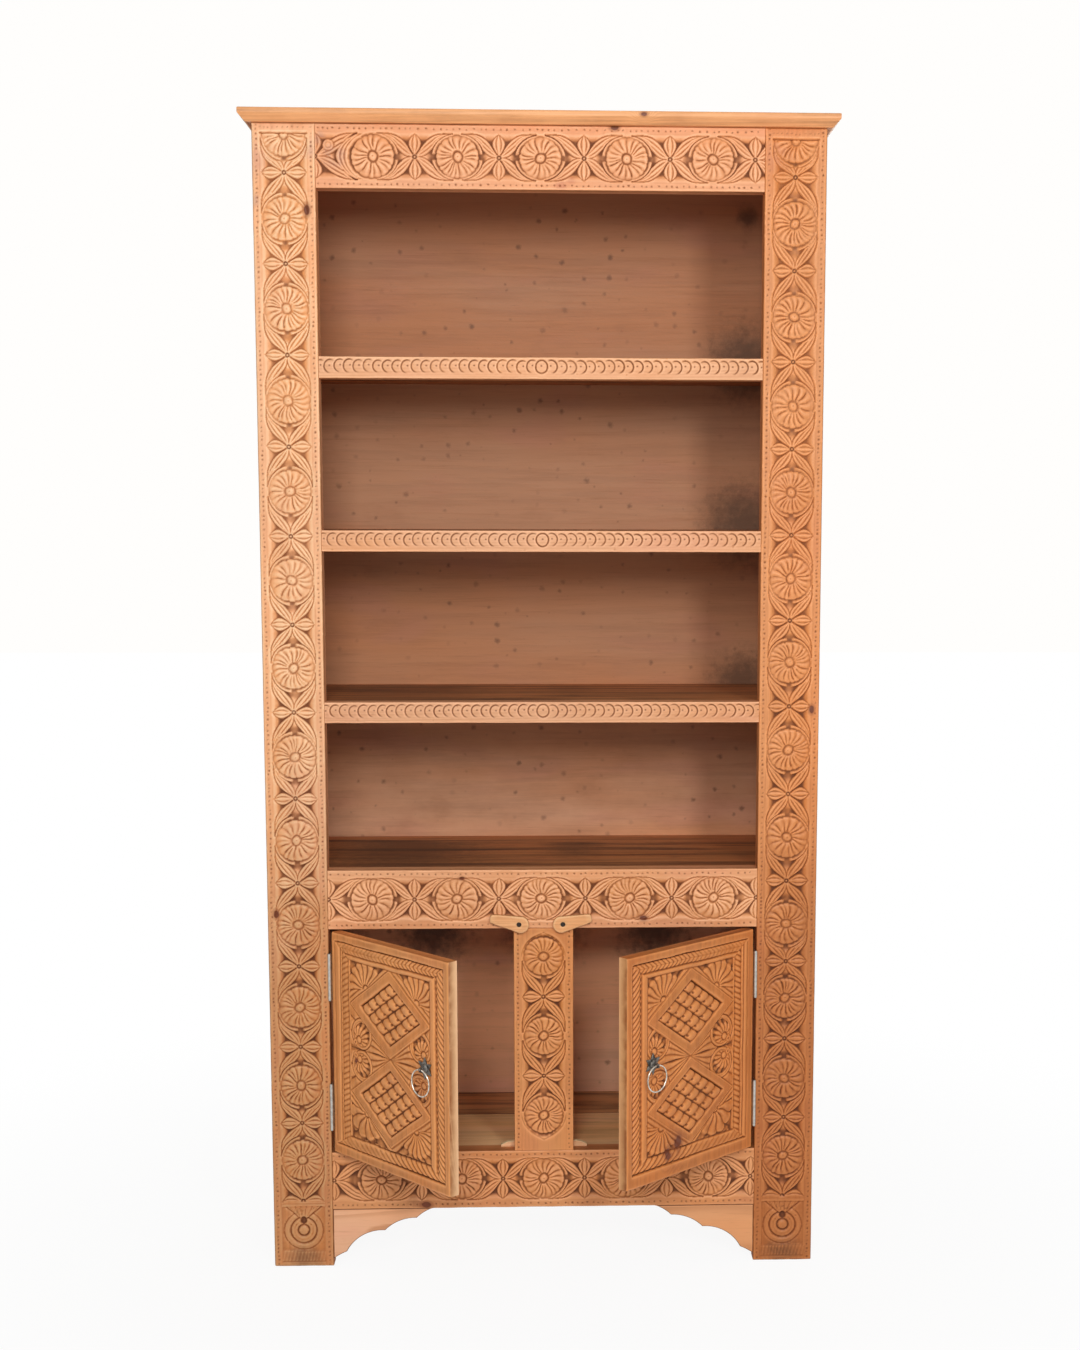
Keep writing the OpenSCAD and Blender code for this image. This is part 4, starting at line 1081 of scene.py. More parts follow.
STRAP = 103.5, 72.8
CENTRES = (151.5, 460), (152, 314)
PEGGED = (151.5, 460, 75, 51), (152, 314, 78, 54)
CROSSING_X, CROSSING_Z = 153, 387


def in_lozenge(x, z, cx, cz, wide, tall):
    """Distance from a lozenge's edge to a point inside it."""
    return (1 - np.abs(x - cx) / wide - np.abs(z - cz) / tall) / math.hypot(1 / wide, 1 / tall)


def door_mouldings(h, x, z, clear):
    """Cuts the four mouldings round a door's field, mitred at the corners, and returns where the field is."""
    ridge, wide, rope_at, rope_half = (20.0, 4.2, 38.0, 8.0) if clear else (16.0, 6.8, 35.4, 8.8)
    foot = 219.5 if clear else 214.5
    left = -1.1 * np.abs((x - ridge) / wide) ** 3 * (np.abs(x - ridge) < wide) + 0.2
    twist = -0.5 + rope(z, x - rope_at, rope_half, 9.2, -0.5, 1.3 + 0.6 * clear)
    left = np.where(np.abs(x - rope_at) < rope_half, twist, left) + vee(x - ridge + wide, 1.0, 1.3)
    left += gouge(x - ridge - wide - 1.2, 1.7, 3.0) + gouge(x - rope_at - rope_half - 1, 1.4, 2.4)
    right = -1.0 * ((x - 257.8) / 6) ** 2 * (np.abs(x - 257.8) < 6) + 0.1
    right = np.where(x > 268.5, -0.1 + rope(z, x - 277.6, 8.4, 9.8, 0.95, 2.6), right) + vee(x - 286.6, 1.1, 1.7)
    right += gouge(x - 266.2, 2.7, 4.0) * (0.85 + 0.15 * np.sin(z * 0.64)) + gouge(x - 251.6, 1.2, 2.2)
    above = z - 548.0
    crisp = 0.35 + 0.65 * smooth(110, 175, x)
    chevron = -0.5 + crisp * rope(x, -np.abs(above), 8.6, 9.6, 1.0, 1.8) + vee(above, 0.8, 0.9)
    top = np.where(z > 540, chevron, -1.0 * ((z - 536) / 4) ** 2) + vee(z - 531.6, 1.0, 1.8)
    top += gouge(z - 557.2, 1.4, 3.2) + gouge(z - 539.4, 1.3, 2.6)
    crisp = 0.35 + 0.65 * smooth(120, 180, x)
    bottom = -0.5 + crisp * rope(x, z - foot - 10.5, 8.5, 13.0, 1.15, 2.2)
    bottom += gouge(z - foot - 0.6, 1.5, 3.0) + gouge(z - foot - 21, 1.6, 3.0)
    # for each moulding, how far across it a point lies: 0 at its outer side and 1 at the field
    outer, inner = ridge - wide, rope_at + rope_half + 3
    across = [(x - outer) / (inner - outer), (286.5 - x) / 35.5, (557.5 - z) / 26.5, (z - foot) / 22.5]
    across = np.stack(across)
    nearest = across.min(0)
    moulded = (nearest > 0) & (nearest < 1)
    for value, part in zip((left, right, top, bottom), across):
        there = (part <= nearest + 1e-9) & moulded
        h[there] = value[there]
    ordered = np.sort(across, 0)
    h += np.where(moulded, vee((ordered[1] - ordered[0]) * 28, 0.8, 0.7), 0)
    return nearest >= 1


def door_face(seed, clear):
    """A door's front, seen with its hinges on the left. clear is how crisp its weakest bands are."""
    face = Face(DOOR_W, DOOR_HIGH - DOOR_LOW, seed)
    rng = np.random.default_rng(seed)
    x, z = face.bent(0.8, 40)
    x, z = x + DOOR_X, z + DOOR_LOW
    h = face.h
    face.stain = 1.35
    field = door_mouldings(h, x, z, clear)

    # leaves between two lozenges of flat straps, mirrored above and below their crossing
    edge = np.maximum(*(in_lozenge(x, z, *centre, *STRAP) for centre in CENTRES))
    rise = np.abs(z - CROSSING_Z)
    limit = np.maximum(np.abs(x - CROSSING_X) * STRAP[1] / STRAP[0], 1)
    part = rise / limit
    wild = strands(unit(part + 0.05 * np.sin(x / 11)), slope(part, face.steps))
    for cx, cz, way, toward in ((78, 27, 1, 62), (227, 35, -1, 118)):
        r = np.hypot(x - cx, rise - cz)
        phase = (r - 16) / 5.2
        arcs = -0.8 - 0.9 * flanks(phase % 1) + vee((phase + 0.5) % 1 * 5.2 - 2.6, 0.9, 1.5)
        arcs = np.where(r < 19.5, fan(x, rise, (cx - way * 8, cz - 11), toward, 150, 6, rng, 24), arcs)
        near = (r < 27.5) & (np.sign(x - CROSSING_X) == -way)
        wild = np.where(near, arcs + gouge(r - 27.5, 1.4, 2.2), wild)
        knob = np.hypot(x - (cx - way * 17), rise - 10.8)
        wild = np.where(knob < 6, -0.5 - 0.8 * (knob / 6) ** 2 + gouge(knob - 6, 1.0, 2.0) - 3.2 * (knob < 1.7), wild)
    wild += vee(rise, 1.0, 1.6)
    there = field & (edge < 0) & (rise < limit + 1)
    h[there] = wild[there]

    # shells and leaves in the four corners
    for sx, sz, count in ((-1, 1, 7), (1, 1, 8), (-1, -1, 5), (1, -1, 9)):
        a, b = sx * (x - CROSSING_X), sz * (z - (460 if sz > 0 else 314))
        outside = a / STRAP[0] + b / STRAP[1] - 1
        pivot = 63 + rng.uniform(-3, 3), 30 + rng.uniform(-1, 1)
        shell = fan(a, b, pivot, rng.uniform(60, 66), 158, count, rng, 46)
        leaves = strands(unit(unit(outside) / 0.42), slope(unit(outside) / 0.42, face.steps))
        direction = np.degrees(np.arctan2(b - pivot[1], a - pivot[0]))
        value = np.where((direction > -12) & (direction < 138), shell, leaves)
        beside = np.minimum(np.abs(direction + 12), np.abs(direction - 138))
        value += vee(beside / 57.3 * 30, 1.4, 1.8) * (np.hypot(a - pivot[0], b - pivot[1]) < 45)
        corner = field & (a > -1) & (b > -1) & (outside > 0) & (edge < 0)
        h[corner] = value[corner]

    # the straps over them
    strap = -0.35 + vee(edge, 1.3, 1.6) + vee(edge - 3.3, 0.75, 0.85)
    for lozenge in PEGGED:
        rim = in_lozenge(x, z, *lozenge)
        strap += vee(rim + 3.0, 0.6, 0.35) + vee(rim, 1.5, 2.4)
    mask = field & (edge > 0)
    h[mask] = strap[mask]
    h += np.where(field & (edge <= 0), vee(edge, 1.2, 1.5), 0)

    # pegs in rows inside them, each with a drilled hole at its corner
    for cx, cz, wide, tall in PEGGED:
        rim = in_lozenge(x, z, cx, cz, wide, tall)
        a = (((x - cx) / wide + (z - cz) / tall) / 2 + 0.5) * 5
        b = (((x - cx) / wide - (z - cz) / tall) / 2 + 0.5) * 4
        ia, ib = np.floor(a), np.floor(b)
        jitter = rng.uniform(-0.08, 0.08, (61, 3))[(ia * 7 + ib * 13 + 3).astype(int) % 61]
        fa, fb = a - ia - 0.5 + jitter[..., 0], b - ib - 0.5 + jitter[..., 1]
        dome = 0.5 - 4.6 * np.clip((2 * fa) ** 2 * 0.62 + (2 * fb) ** 2 * 0.66, 0, 1.15) ** 1.15 + jitter[..., 2] * 5
        fa, fb = fa - 0.37, fb - 0.20
        hole = np.hypot(fa * 14.5 + fb * 18, fa * 10.4 - fb * 13)
        value = dome + vee(np.abs(b - np.round(b)) * 21, 1.7, 2.2) - 2.8 * (1 - smooth(1.3, 2.6, hole))
        value = np.maximum(value, -5.8) - 1.3 * (1 - smooth(0, 2.2, rim))
        value += np.where((x < cx + 4) & (z > cz - 4), vee(rim - 0.8, 1.6, 2.4), 0)
        mask = field & (rim > 0)
        h[mask] = value[mask]
        # painted shade in each peg's hole
        face.shade_and_stain_in_cuts[mask] = np.maximum(face.shade_and_stain_in_cuts, 0.9 * (1 - smooth(1.2, 2.5, hole)))[mask]
    return face.finish(1.4, "lrtb", tool=0.14)


def door_axes(side):
    """Directions of an open door's u, v and outward normal."""
    flip, angle = 1 if side == "left" else -1, OPEN_ANGLE[side]
    return ((flip * math.cos(angle), -math.sin(angle), 0), (0, 0, 1), (-flip * math.sin(angle), -math.cos(angle), 0))


def door_place(side):
    """Turns a point on a shut door, from its hinge axis, into the open place."""
    axes = np.array(door_axes(side))
    hinge = np.array([HINGE_X if side == "left" else -HINGE_X, HINGE_Y, 0])
    return lambda x, y, z: hinge + x * axes[0] + z * axes[1] - y * axes[2]


# for each door: its seed, how crisp it is, its tone, pith, free edge, knots and stains
DOORS = {
    "left": (61, 0.0, (213, 144, 84), 0.14, (0.2985, (250, 204, 158)), ((0.062, 0.366, 0.003),),
             ((0.225, 0.352, 0.028, (140, 66, 34), 0.6), (0.160, 0.352, 0.02, (164, 78, 40), 0.5),
              (0.09, 0.560, 0.03, (176, 106, 44), 0.5))),
    "right": (67, 1.0, (202, 127, 66), -0.16, (-0.2985, (236, 182, 130)),
              ((-0.180, 0.250, 0.007), (-0.204, 0.236, 0.006)),
              ((-0.185, 0.245, 0.04, (122, 56, 30), 0.65), (-0.10, 0.30, 0.05, (168, 92, 44), 0.5))),
}
for side, (seed, clear, tone, pith, edge, *marks) in DOORS.items():
    place = door_place(side)
    knots, stains = (tuple((x, DOOR_Y * MM, *rest) for x, *rest in group) for group in marks)
    door_wood = wood(f"pine_{side}_door", (tone, (156, 88, 42), (118, 64, 30)), seed, pith=(pith, 0.07), ring=0.009,
                     turn=OPEN_ANGLE[side] if side == "left" else -OPEN_ANGLE[side], origin=place(0, 0, 0) * MM,
                     contrast=0.4, knots=knots, stains=stains, streak=(0.22, 42.0, 2.5), edge=edge)
    piece = board_from_face(f"carved_{side}_door", door_face(seed, clear), place(DOOR_X, DOOR_Y, DOOR_LOW),
                            door_axes(side), DOOR_T, 175000)
    dress(piece, door_wood, f"{side}_door", f"{side}_door")


# ---- Plain boards ----


def add_plank(name, node, pine, seed, slot, tones, box=None, rounding=1.2, grain="x", **looks):
    """A board where a CAD node is, or in a given box where the node has tongues that nobody sees."""
    piece = plank(name, *(box or corners(node)), seed, rounding)
    dress(piece, wood("pine_" + pine, tones, seed, grain, **looks), "carcass", node)


def between_sides(node):
    """Corners of a shelf or floor board without its tongues."""
    low, high = corners(node)
    return (-SIDE_IN, *low[1:]), (SIDE_IN, *high[1:])


for side, flip, seed in (("left", -1, 71), ("right", 1, 72)):
    low_x, high_x = sorted((flip * SIDE_OUT, flip * SIDE_IN))
    outer_x = flip * SIDE_OUT * MM
    add_plank(f"{side}_side_board", f"{side}_side_panel", f"{side}_side", seed, "plain_wood",
              ((212, 152, 108), (168, 108, 66), (108, 60, 34)), ((low_x, INNER_Y, 0), (high_x, BACK_Y, FRAME_H)),
              grain="z", pith=(0.12, 0.03 * flip), ring=0.0062, foot=(0.4, (208, 184, 156)),
              knots=((outer_x, 0.10, 1.34, 0.007), (outer_x, 0.19, 0.52, 0.009)))

BACK_FRONT = corners("back_panel")[0][1] * MM
LOWER, MIDDLE, UPPER = (corners(name)[1][2] * MM for name in ("lower_shelf", "middle_shelf", "upper_shelf"))
# painted shadow on the back board: near the cupboard's top, and at the right end of the bays where the right stile
# shades them
cupboard_painted_shadow = [(x / 10, BACK_FRONT, 0.505, 0.08, (50, 32, 24), 0.85) for x in range(-4, 5, 2)]
right_end_painted_shadow = [(0.36, BACK_FRONT, level, size, (78, 54, 38), 0.75) for level, size in
                  ((UPPER + 0.02, 0.08), (MIDDLE + 0.01, 0.085), (LOWER, 0.07), (UPPER + 0.27, 0.025))]
# below the cupboard's top the back board's front is painted lighter: painted light where the doors shade the cupboard
add_plank("back_board", "back_panel", "back", 73, "back_wood", ((190, 137, 101), (160, 108, 74), (84, 52, 36)),
          rounding=0.8, pith=(0.05, 0.55), ring=0.03, contrast=0.12, stain=0.2, rough=0.6, spots=0.6,
          streak=(0.12, 60.0, 4.0), foot=(0.62, (316, 340, 372), BACK_FRONT), stains=cupboard_painted_shadow + right_end_painted_shadow)

for seed, name in enumerate(("deck_board", "lower_shelf", "middle_shelf", "upper_shelf"), 81):
    top, is_deck = corners(name)[1][2] * MM, name == "deck_board"
    stains = ((-0.24, 0.2, top, 0.17, (74, 42, 24), 0.75 if is_deck else 0.4),
              (0.05, 0.2, top, 0.06, (84, 50, 28), 0.6 if is_deck else 0.3))
    add_plank(name + "_plank", name, name, seed, "inner_wood", ((190, 124, 76), (128, 76, 42), (50, 27, 14)),
              between_sides(name), pith=(0.4, -0.05), ring=0.006, contrast=0.5, stain=0.4, rough=0.58,
              streak=(0.9, 30.0, 1.7), stains=stains)

for name, seed, tones, darkening, slot in (
    ("floor_plank_front", 91, ((250, 208, 156), (222, 170, 116), (120, 80, 48)), 0.4, "plain_wood"),
    ("floor_plank_back", 92, ((206, 150, 104), (150, 100, 62), (66, 40, 20)), 0.75, "inner_wood"),
):
    add_plank(name + "_board", name, name, seed, slot, tones, between_sides(name), pith=(0.4, -0.06),
              contrast=0.35, stain=0.2, rough=0.6, streak=(darkening, 30.0, 2.0))

top_z = FRAME_H * MM + 0.02
add_plank("top_plank", "top_board", "top", 95, "plain_wood", ((210, 146, 96), (170, 104, 60), (104, 56, 30)),
          rounding=0.7, pith=(0.2, -0.06), ring=0.0065,
          knots=((-0.21, 0.06, top_z, 0.012), (0.30, 0.17, top_z, 0.009)))


# ---- Cornice: a strip with a sloping underside, mitred at the front corners ----


def cornice(name, node, side, seed):
    """side is 0 for the front strip, -1 for the left and 1 for the right."""
    reach, soffit, edge, thick = 19.0, 8.0, 8.5, corners("top_board")[1][2] - FRAME_H
    rng = np.random.default_rng(seed)
    profile = [(0, 0.4), (0.4, 0), (soffit - 1.2, 0), (soffit - 0.2, 0.15), (soffit + 0.8, 0.8)]
    profile += [(reach - 0.9, thick - edge - 0.8), (reach - 0.25, thick - edge + 0.1), (reach, thick - edge + 1.1)]
    profile += [(reach, thick - 1.6), (reach - 0.5, thick - 0.5), (reach - 1.6, thick), (0.4, thick), (0, thick - 0.4)]
    count, stations = len(profile), 30 if side else 70
    waves, phases = rng.uniform(0.02, 0.11, 4), rng.uniform(0, 6.3, (4, 2))[:, 0]
    points = []
    for t in np.linspace(0, 1, stations):
        for k, (out, up) in enumerate(profile):
            if side:
                point = [side * (HALF_W + out), FRONT_Y - out + t * (BACK_Y - FRONT_Y + out), FRAME_H + up]
            else:
                point = [(2 * t - 1) * (HALF_W + out), FRONT_Y - out, FRAME_H + up]
            worn = abs(0.14 * np.sin(waves * point[1 if side else 0] + phases).sum())
            if 5 <= k <= 10 and 0 < t < 1:
                point[0 if side else 1] -= worn * (side or -1)
                point[2] -= 0.5 * worn if k in (8, 9) else 0
            points.append(point)
    first, last = caps(stations, count)
    faces = skin(stations, count) + [first, last]
    piece = new_object(name, points, faces if side < 0 else [face[::-1] for face in faces])
    for k in (-2, -1):
        piece.data.polygons[k].use_smooth = False
    piece.data.set_sharp_from_angle(angle=math.radians(50))
    part = np.tile(np.arange(count), stations)
    # painted shade on the left strip's sloping underside, and a painted highlight on every strip's slope and outer edge
    underside_shade = 1.1 * ((part >= 2) & (part <= 5)) if side < 0 else 0
    set_shades(piece, underside_shade, 0.8 * ((part >= 3) & (part <= 10)))
    strip_wood = wood("pine_" + name, ((226, 160, 106), (180, 110, 58), (104, 54, 26)), seed, "y" if side else "x",
                      pith=(0.05, -0.05), contrast=1.2, streak=(0.7, 130.0, 3.0),
                      knots=() if side else ((0.16, -0.0775, 1.868, 0.003),))
    dress(piece, strip_wood, "carcass", node)


for name, side, seed in (("front", 0, 97), ("left", -1, 98), ("right", 1, 99)):
    cornice(f"{name}_cornice_strip", f"cornice_{name}", side, seed)


# ---- Base brackets, buttons and stops ----

FLIPS = {"left": 1, "right": -1}


def arc(p, q, bulge, steps):
    """Points from p towards q along an arc that bulges to the left."""
    p, q = np.array(p, float), np.array(q, float)
    chord = np.linalg.norm(q - p)
    radius = (chord * chord / 4 + bulge * bulge) / (2 * bulge)
    along = (q - p) / chord
    left = np.array([-along[1], along[0]])
    middle = (p + q) / 2 - left * (radius - bulge)
    half = math.asin(chord / 2 / radius)
    angles = np.linspace(-half, half, steps + 1)[:-1]
    return [middle + radius * (math.sin(a) * along + math.cos(a) * left) for a in angles]


def flipped(piece, needed):
    """Turns a piece's faces round if its place mirrors them."""
    if needed:
        piece.data.flip_normals()
    return piece


bracket_low, bracket_high = corners("left_bracket")
BRACKET_W, BRACKET_H = bracket_high[0] + OPEN_HALF, LEG_H - bracket_low[2]


def bracket(side, tones, seed):
    """A plain board with a scalloped lower edge, cut with a saw and darkened along it with painted shade."""
    low, toe, middle = (0, -BRACKET_H), (22, 12 - BRACKET_H), (86, 48 - BRACKET_H)
    high, end = (139, 69 - BRACKET_H), (BRACKET_W, 0)
    outline = arc(low, toe, 0.8, 6) + arc(toe, middle, 11, 20) + arc(middle, high, 6, 16)
    outline += [*arc(high, end, 2, 10), end]
    outline += [(x, 0.0) for x in np.linspace(BRACKET_W, 0, 24)[1:]]
    outline += [(0.0, z) for z in np.linspace(0, -BRACKET_H, 12)[1:-1]]
    flip = FLIPS[side]
    place = lambda x, z, out: (flip * (x - OPEN_HALF), bracket_high[1] - out, LEG_H + z)
    piece = slab(f"{side}_scalloped_bracket", outline, place, bracket_high[1] - bracket_low[1], 1.6, edge_shade=1.0)
    bracket_wood = wood(f"pine_{side}_bracket", tones, seed, "x", pith=(0.05, 0.06))
    dress(flipped(piece, flip < 0), bracket_wood, "carcass", f"{side}_bracket")


bracket("left", ((238, 186, 150), (200, 140, 100), (104, 58, 34)), 101)
bracket("right", ((230, 168, 120), (188, 124, 78), (98, 52, 28)), 102)


def cross(p, q):
    """Cross product of plane vectors."""
    return p[..., 0] * q[..., 1] - p[..., 1] * q[..., 0]


def turn_button(side, pivot_x, seed):
    """A tapered wooden button with a round end, a bevelled rim and a bore for its screw."""
    flip = FLIPS[side]
    tilt = math.radians(180 - 12.5)
    end_x, radius, reach, tip, thick, bore, shank = -2.5, 14.0, 48.5, 7.0, 9.0, 3.95, 2.05
    half_turn = np.linspace(math.pi / 2, 1.5 * math.pi, 40)
    outline = [(end_x + radius * math.cos(a), radius * math.sin(a)) for a in half_turn]
    outline += [(end_x, -13.7), (reach - 2.5, -tip), (reach - 0.8, 1 - tip), (reach, 2.6 - tip)]
    outline += [(reach, tip - 2.6), (reach - 0.8, tip - 1), (reach - 2.5, tip), (end_x, 13.7)]
    outline = np.array(outline)
    count = 96
    angles = TURN * np.arange(count) / count
    ways = np.column_stack([np.cos(angles), np.sin(angles)])
    # where a ray in each direction leaves the outline
    sides = np.roll(outline, -1, 0) - outline
    across = cross(ways[:, None], sides)
    across = np.where(np.abs(across) < 1e-9, np.nan, across)
    far, part = cross(outline, sides) / across, cross(outline, ways[:, None]) / across
    hit = (far > 0) & (part >= -1e-6) & (part <= 1 + 1e-6)
    length = np.where(hit, far, np.inf).min(1)
    # rings from the back's bore over the rim to the front's bore: radius, height, wear with its painted highlight, and
    # painted shade on the rim's sides and in the bore
    rings = [(shank, 0, 0, 0), (length - 0.6, 0, 0, 0), (length, 0.7, 0, 1.0), (length, thick - 2.2, 0.3, 1.0)]
    rings += [(length - 0.35, thick - 1.3, 1.0, 1.0), (length - 1.1, thick - 0.6, 1.0, 0.55)]
    rings += [(length - 2.2, thick - 0.12, 0.6, 0)]
    rings += [(bore + 1.2 + k * (length - bore - 3.6), thick, 0.1, 0) for k in (0.8, 0.62, 0.45, 0.3)]
    rings += [(bore + 0.9, thick - 0.05, 0.4, 0), (bore + 0.2, thick - 0.5, 0.7, 0), (bore, thick - 1.2, 0, 0.8)]
    rings += [(bore, thick / 2 + 0.05, 0, 0.8), (shank, thick / 2, 0, 0.8)]
    x, y = (np.concatenate([way * far for far, *_ in rings]) for way in ways.T)
    height, wear, darkening = (np.repeat(values, count) for values in list(zip(*rings))[1:])
    height = height + 0.07 * np.sin(x * 0.31 + seed) * (height > thick - 1)
    places = np.column_stack([
        pivot_x + flip * (x * math.cos(tilt) - y * math.sin(tilt)), FRONT_Y - 0.4 - height,
        MID_RAIL_Z + 8.0 + x * math.sin(tilt) + y * math.cos(tilt),
    ])
    piece = flipped(new_object(f"{side}_turn_button_piece", places, skin(len(rings), count, closed=True)), flip > 0)
    piece.data.set_sharp_from_angle(angle=math.radians(48))
    # painted shade on the rim and in the bore, a painted highlight on the worn bevel
    set_shades(piece, darkening, wear)
    tones = ((238, 181, 130), (206, 142, 92), (110, 60, 32))
    button_wood = wood(f"pine_{side}_button", tones, seed, "x", pith=(0.3, 0.04), ring=0.004)
    dress(piece, button_wood, f"{side}_button", f"{side}_turn_button")


turn_button("left", -40, 105)
turn_button("right", 32, 106)


def stop_wedge(side, seed):
    """The small block that a door closes against."""
    flip = FLIPS[side]
    low, high = corners(f"{side}_door_stop")
    wedge = np.array([(0, 0), (0, 9.4), (-0.6, 10), (-11.5, 9), (-22.4, 4.1), (-23, 3.4), (-23, 0)])
    outline = np.stack([wedge, (wedge + np.roll(wedge, -1, 0)) / 2], 1).reshape(-1, 2)
    place = lambda x, z, out: (flip * (x - BAND / 2), INNER_Y - out, CUPBOARD_Z + z)
    piece = flipped(slab(f"{side}_stop_wedge", outline, place, high[1] - low[1], 0.7), flip > 0)
    stop_wood = wood(f"pine_{side}_stop", ((255, 206, 158), (214, 156, 108), (100, 56, 30)), seed, "x")
    dress(piece, stop_wood, "carcass", f"{side}_door_stop")


stop_wedge("left", 107)
stop_wedge("right", 108)


# ---- Metalwork ----

steel = metal("worn_zinc_steel", (196, 194, 188), (142, 138, 130), (96, 78, 62), 111, 0.34, 0.4)
iron = metal("dark_rubbed_iron", (128, 124, 118), (62, 58, 55), (40, 34, 30), 112, 0.42, 0.5)
black = metal("blackened_screw", (58, 50, 44), (30, 24, 20), (44, 26, 16), 114, 0.6, 0.4, 0.3)
ring_steel = metal("polished_ring_steel", (226, 220, 208), (170, 162, 148), (120, 104, 84), 113, 0.2, 0.3)

# where a ring pull's eye stands, from the door's hinge axis
PULL_X, EYE_Y, PULL_Z = 241.5, -6.9, 393.0


def star(side, seed):
    """A six-pointed star plate with a ridge along each point and a domed boss."""
    place = door_place(side)
    rng = np.random.default_rng(seed)
    count, tip = 96, 18.5
    notch = tip * 0.52 * np.array([math.cos(math.pi / 6), math.sin(math.pi / 6)])
    angles = TURN * np.arange(count) / count
    sixth = (angles + math.pi / 6) % (math.pi / 3) - math.pi / 6
    # the straight edge from a tip to the notch beside it
    way = notch - (tip, 0)
    far = np.minimum(tip * way[1] / (np.cos(sixth) * way[1] - np.sin(np.abs(sixth)) * way[0]), tip - 0.35)
    ridge = np.cos(3 * sixth) ** 2
    angles = angles + math.pi / 2
    far = far * (1 + 0.012 * np.sin(3 * angles + seed) + 0.01 * rng.uniform(-1, 1, count))
    layers = [(far - 0.1, 0), (far, 0.7), (far, 1.15)]
    for part in (0.93, 0.85, 0.75, 0.65, 0.56):
        height = 1.3 + 0.75 * ridge * (1 - abs(part - 0.72) * 1.6)
        layers.append((7.9 + (far - 7.9) * ((part - 0.5) / 0.5), height))
    layers.append((7.7, 1.6 + 0.1 * ridge))
    layers += [(7.5 * math.cos(a) + 0.05, 1.6 + 3.8 * math.sin(a)) for a in np.linspace(0, math.pi / 2, 9)[:-1]]
    points = []
    for radius, height in layers:
        points += zip(radius * np.cos(angles), radius * np.sin(angles), np.full(count, height))
    points += [(0, 0, 5.4), (0, 0, 0)]
    total = len(layers)
    faces = skin(total, count)
    faces += [[(total - 1) * count + k, (total - 1) * count + (k + 1) % count, total * count] for k in range(count)]
    faces += [[(k + 1) % count, k, total * count + 1] for k in range(count)]
    piece = new_object(f"{side}_star", [place(PULL_X + x, DOOR_Y - out, PULL_Z + z) for x, z, out in points], faces)
    flipped(piece, side == "right").data.set_sharp_from_angle(angle=math.radians(40))
    dress(piece, iron, f"{side}_door", f"{side}_star_plate")


def tube(name, path, widths, place, closed, segments):
    """A bar of round section along a path; widths are its radii at each point."""
    path = np.array(path, float)
    tangents = np.roll(path, -1, 0) - np.roll(path, 1, 0) if closed else np.gradient(path, axis=0)
    tangents /= np.linalg.norm(tangents, axis=1)[:, None]
    normal = np.cross(tangents[0], (0.31, 0.52, 0.79))
    points, angles = [], TURN * np.arange(segments) / segments
    for middle, width, tangent in zip(path, widths, tangents):
        normal -= tangent * (normal @ tangent)
        normal /= np.linalg.norm(normal)
        other = np.cross(tangent, normal)
        points += [middle + width * (math.cos(a) * normal + math.sin(a) * other) for a in angles]
    # a closed tube's last ring meets the nearest points of its first
    shift = int(np.argmin(np.linalg.norm(points[-segments] - np.array(points[:segments]), axis=1))) if closed else 0
    faces = skin(len(path), segments, closed, shift) + ([] if closed else list(caps(len(path), segments)))
    return new_object(name, [place(*p) for p in points], faces)


def ring_eye(side):
    """A bar bent into a loop whose two legs pass through the door and are turned over behind it."""
    place = door_place(side)
    turns = np.linspace(-0.5 * math.pi, 1.5 * math.pi, 49)[:-1]
    loop = [(PULL_X, EYE_Y + 2.85 * math.sin(a), PULL_Z + 2.85 * math.cos(a)) for a in turns]
    eye = tube(f"{side}_eye_loop", loop, [0.75] * len(loop), place, True, 16)
    # the loop's bar is wider than it is thick
    centre, beside = (Vector(place(PULL_X + x, EYE_Y, PULL_Z) * MM) for x in (0, 1))
    across = (beside - centre).normalized()
    for vertex in eye.data.vertices:
        vertex.co += across * (vertex.co - centre).dot(across) * 0.7
    back, steps = DOOR_Y + DOOR_T, 12
    shank = [(PULL_X, y, PULL_Z) for y in np.linspace(EYE_Y + 3.4, back + 0.2, steps)]
    parts = [eye, tube(f"{side}_eye_shank", shank, np.linspace(1.5, 1.6, steps), place, False, 20)]
    for way in (-1, 1):
        tail = [(PULL_X + way * x, back + 0.85 + 0.25 * math.sin(x / 3), PULL_Z + 0.3 * way * math.sin(x / 4))
                for x in np.linspace(0, 10.6, steps)]
        parts.append(tube(f"{side}_eye_tail", tail, np.linspace(0.8, 0.5, steps), place, False, 14))
    bpy.ops.object.select_all(action="DESELECT")
    for part in parts:
        part.select_set(True)
    bpy.context.view_layer.objects.active = eye
    bpy.ops.object.join()
    eye.name = f"{side}_eye"
    dress(eye, iron, f"{side}_door", f"{side}_ring_eye")


def pull_ring(side, seed):
    """A ring that hangs in the eye; its wire is hammered, a little uneven and worn thin at the top."""
    radius, wire, drop = 21.2, 1.3, 0.4
    path, widths = [], []
    for a in TURN * np.arange(144) / 144:
        reach = radius + 0.12 * math.sin(2 * a + seed)
        path.append((PULL_X + reach * math.sin(a), EYE_Y, PULL_Z - drop - radius + radius * math.cos(a)))
        worn = 0.05 * math.exp(-((min(a, TURN - a) / 0.2) ** 2))
        widths.append(wire * (1 - worn + 0.03 * math.sin(7 * a + seed)))
    ring = tube(f"{side}_ring", path, widths, door_place(side), True, 24)
    dress(ring, ring_steel, f"{side}_ring", f"{side}_pull_ring")


for side, seed in (("left", 121), ("right", 122)):
    star(side, seed)
    ring_eye(side)
    pull_ring(side, seed)

for node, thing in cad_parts.items():
    if "hinge" in node:
        coat(thing, steel)
    elif "screw" in node or "nails" in node:
        coat(thing, black if "button" in node else iron)


# ---- Floor, light and camera ----

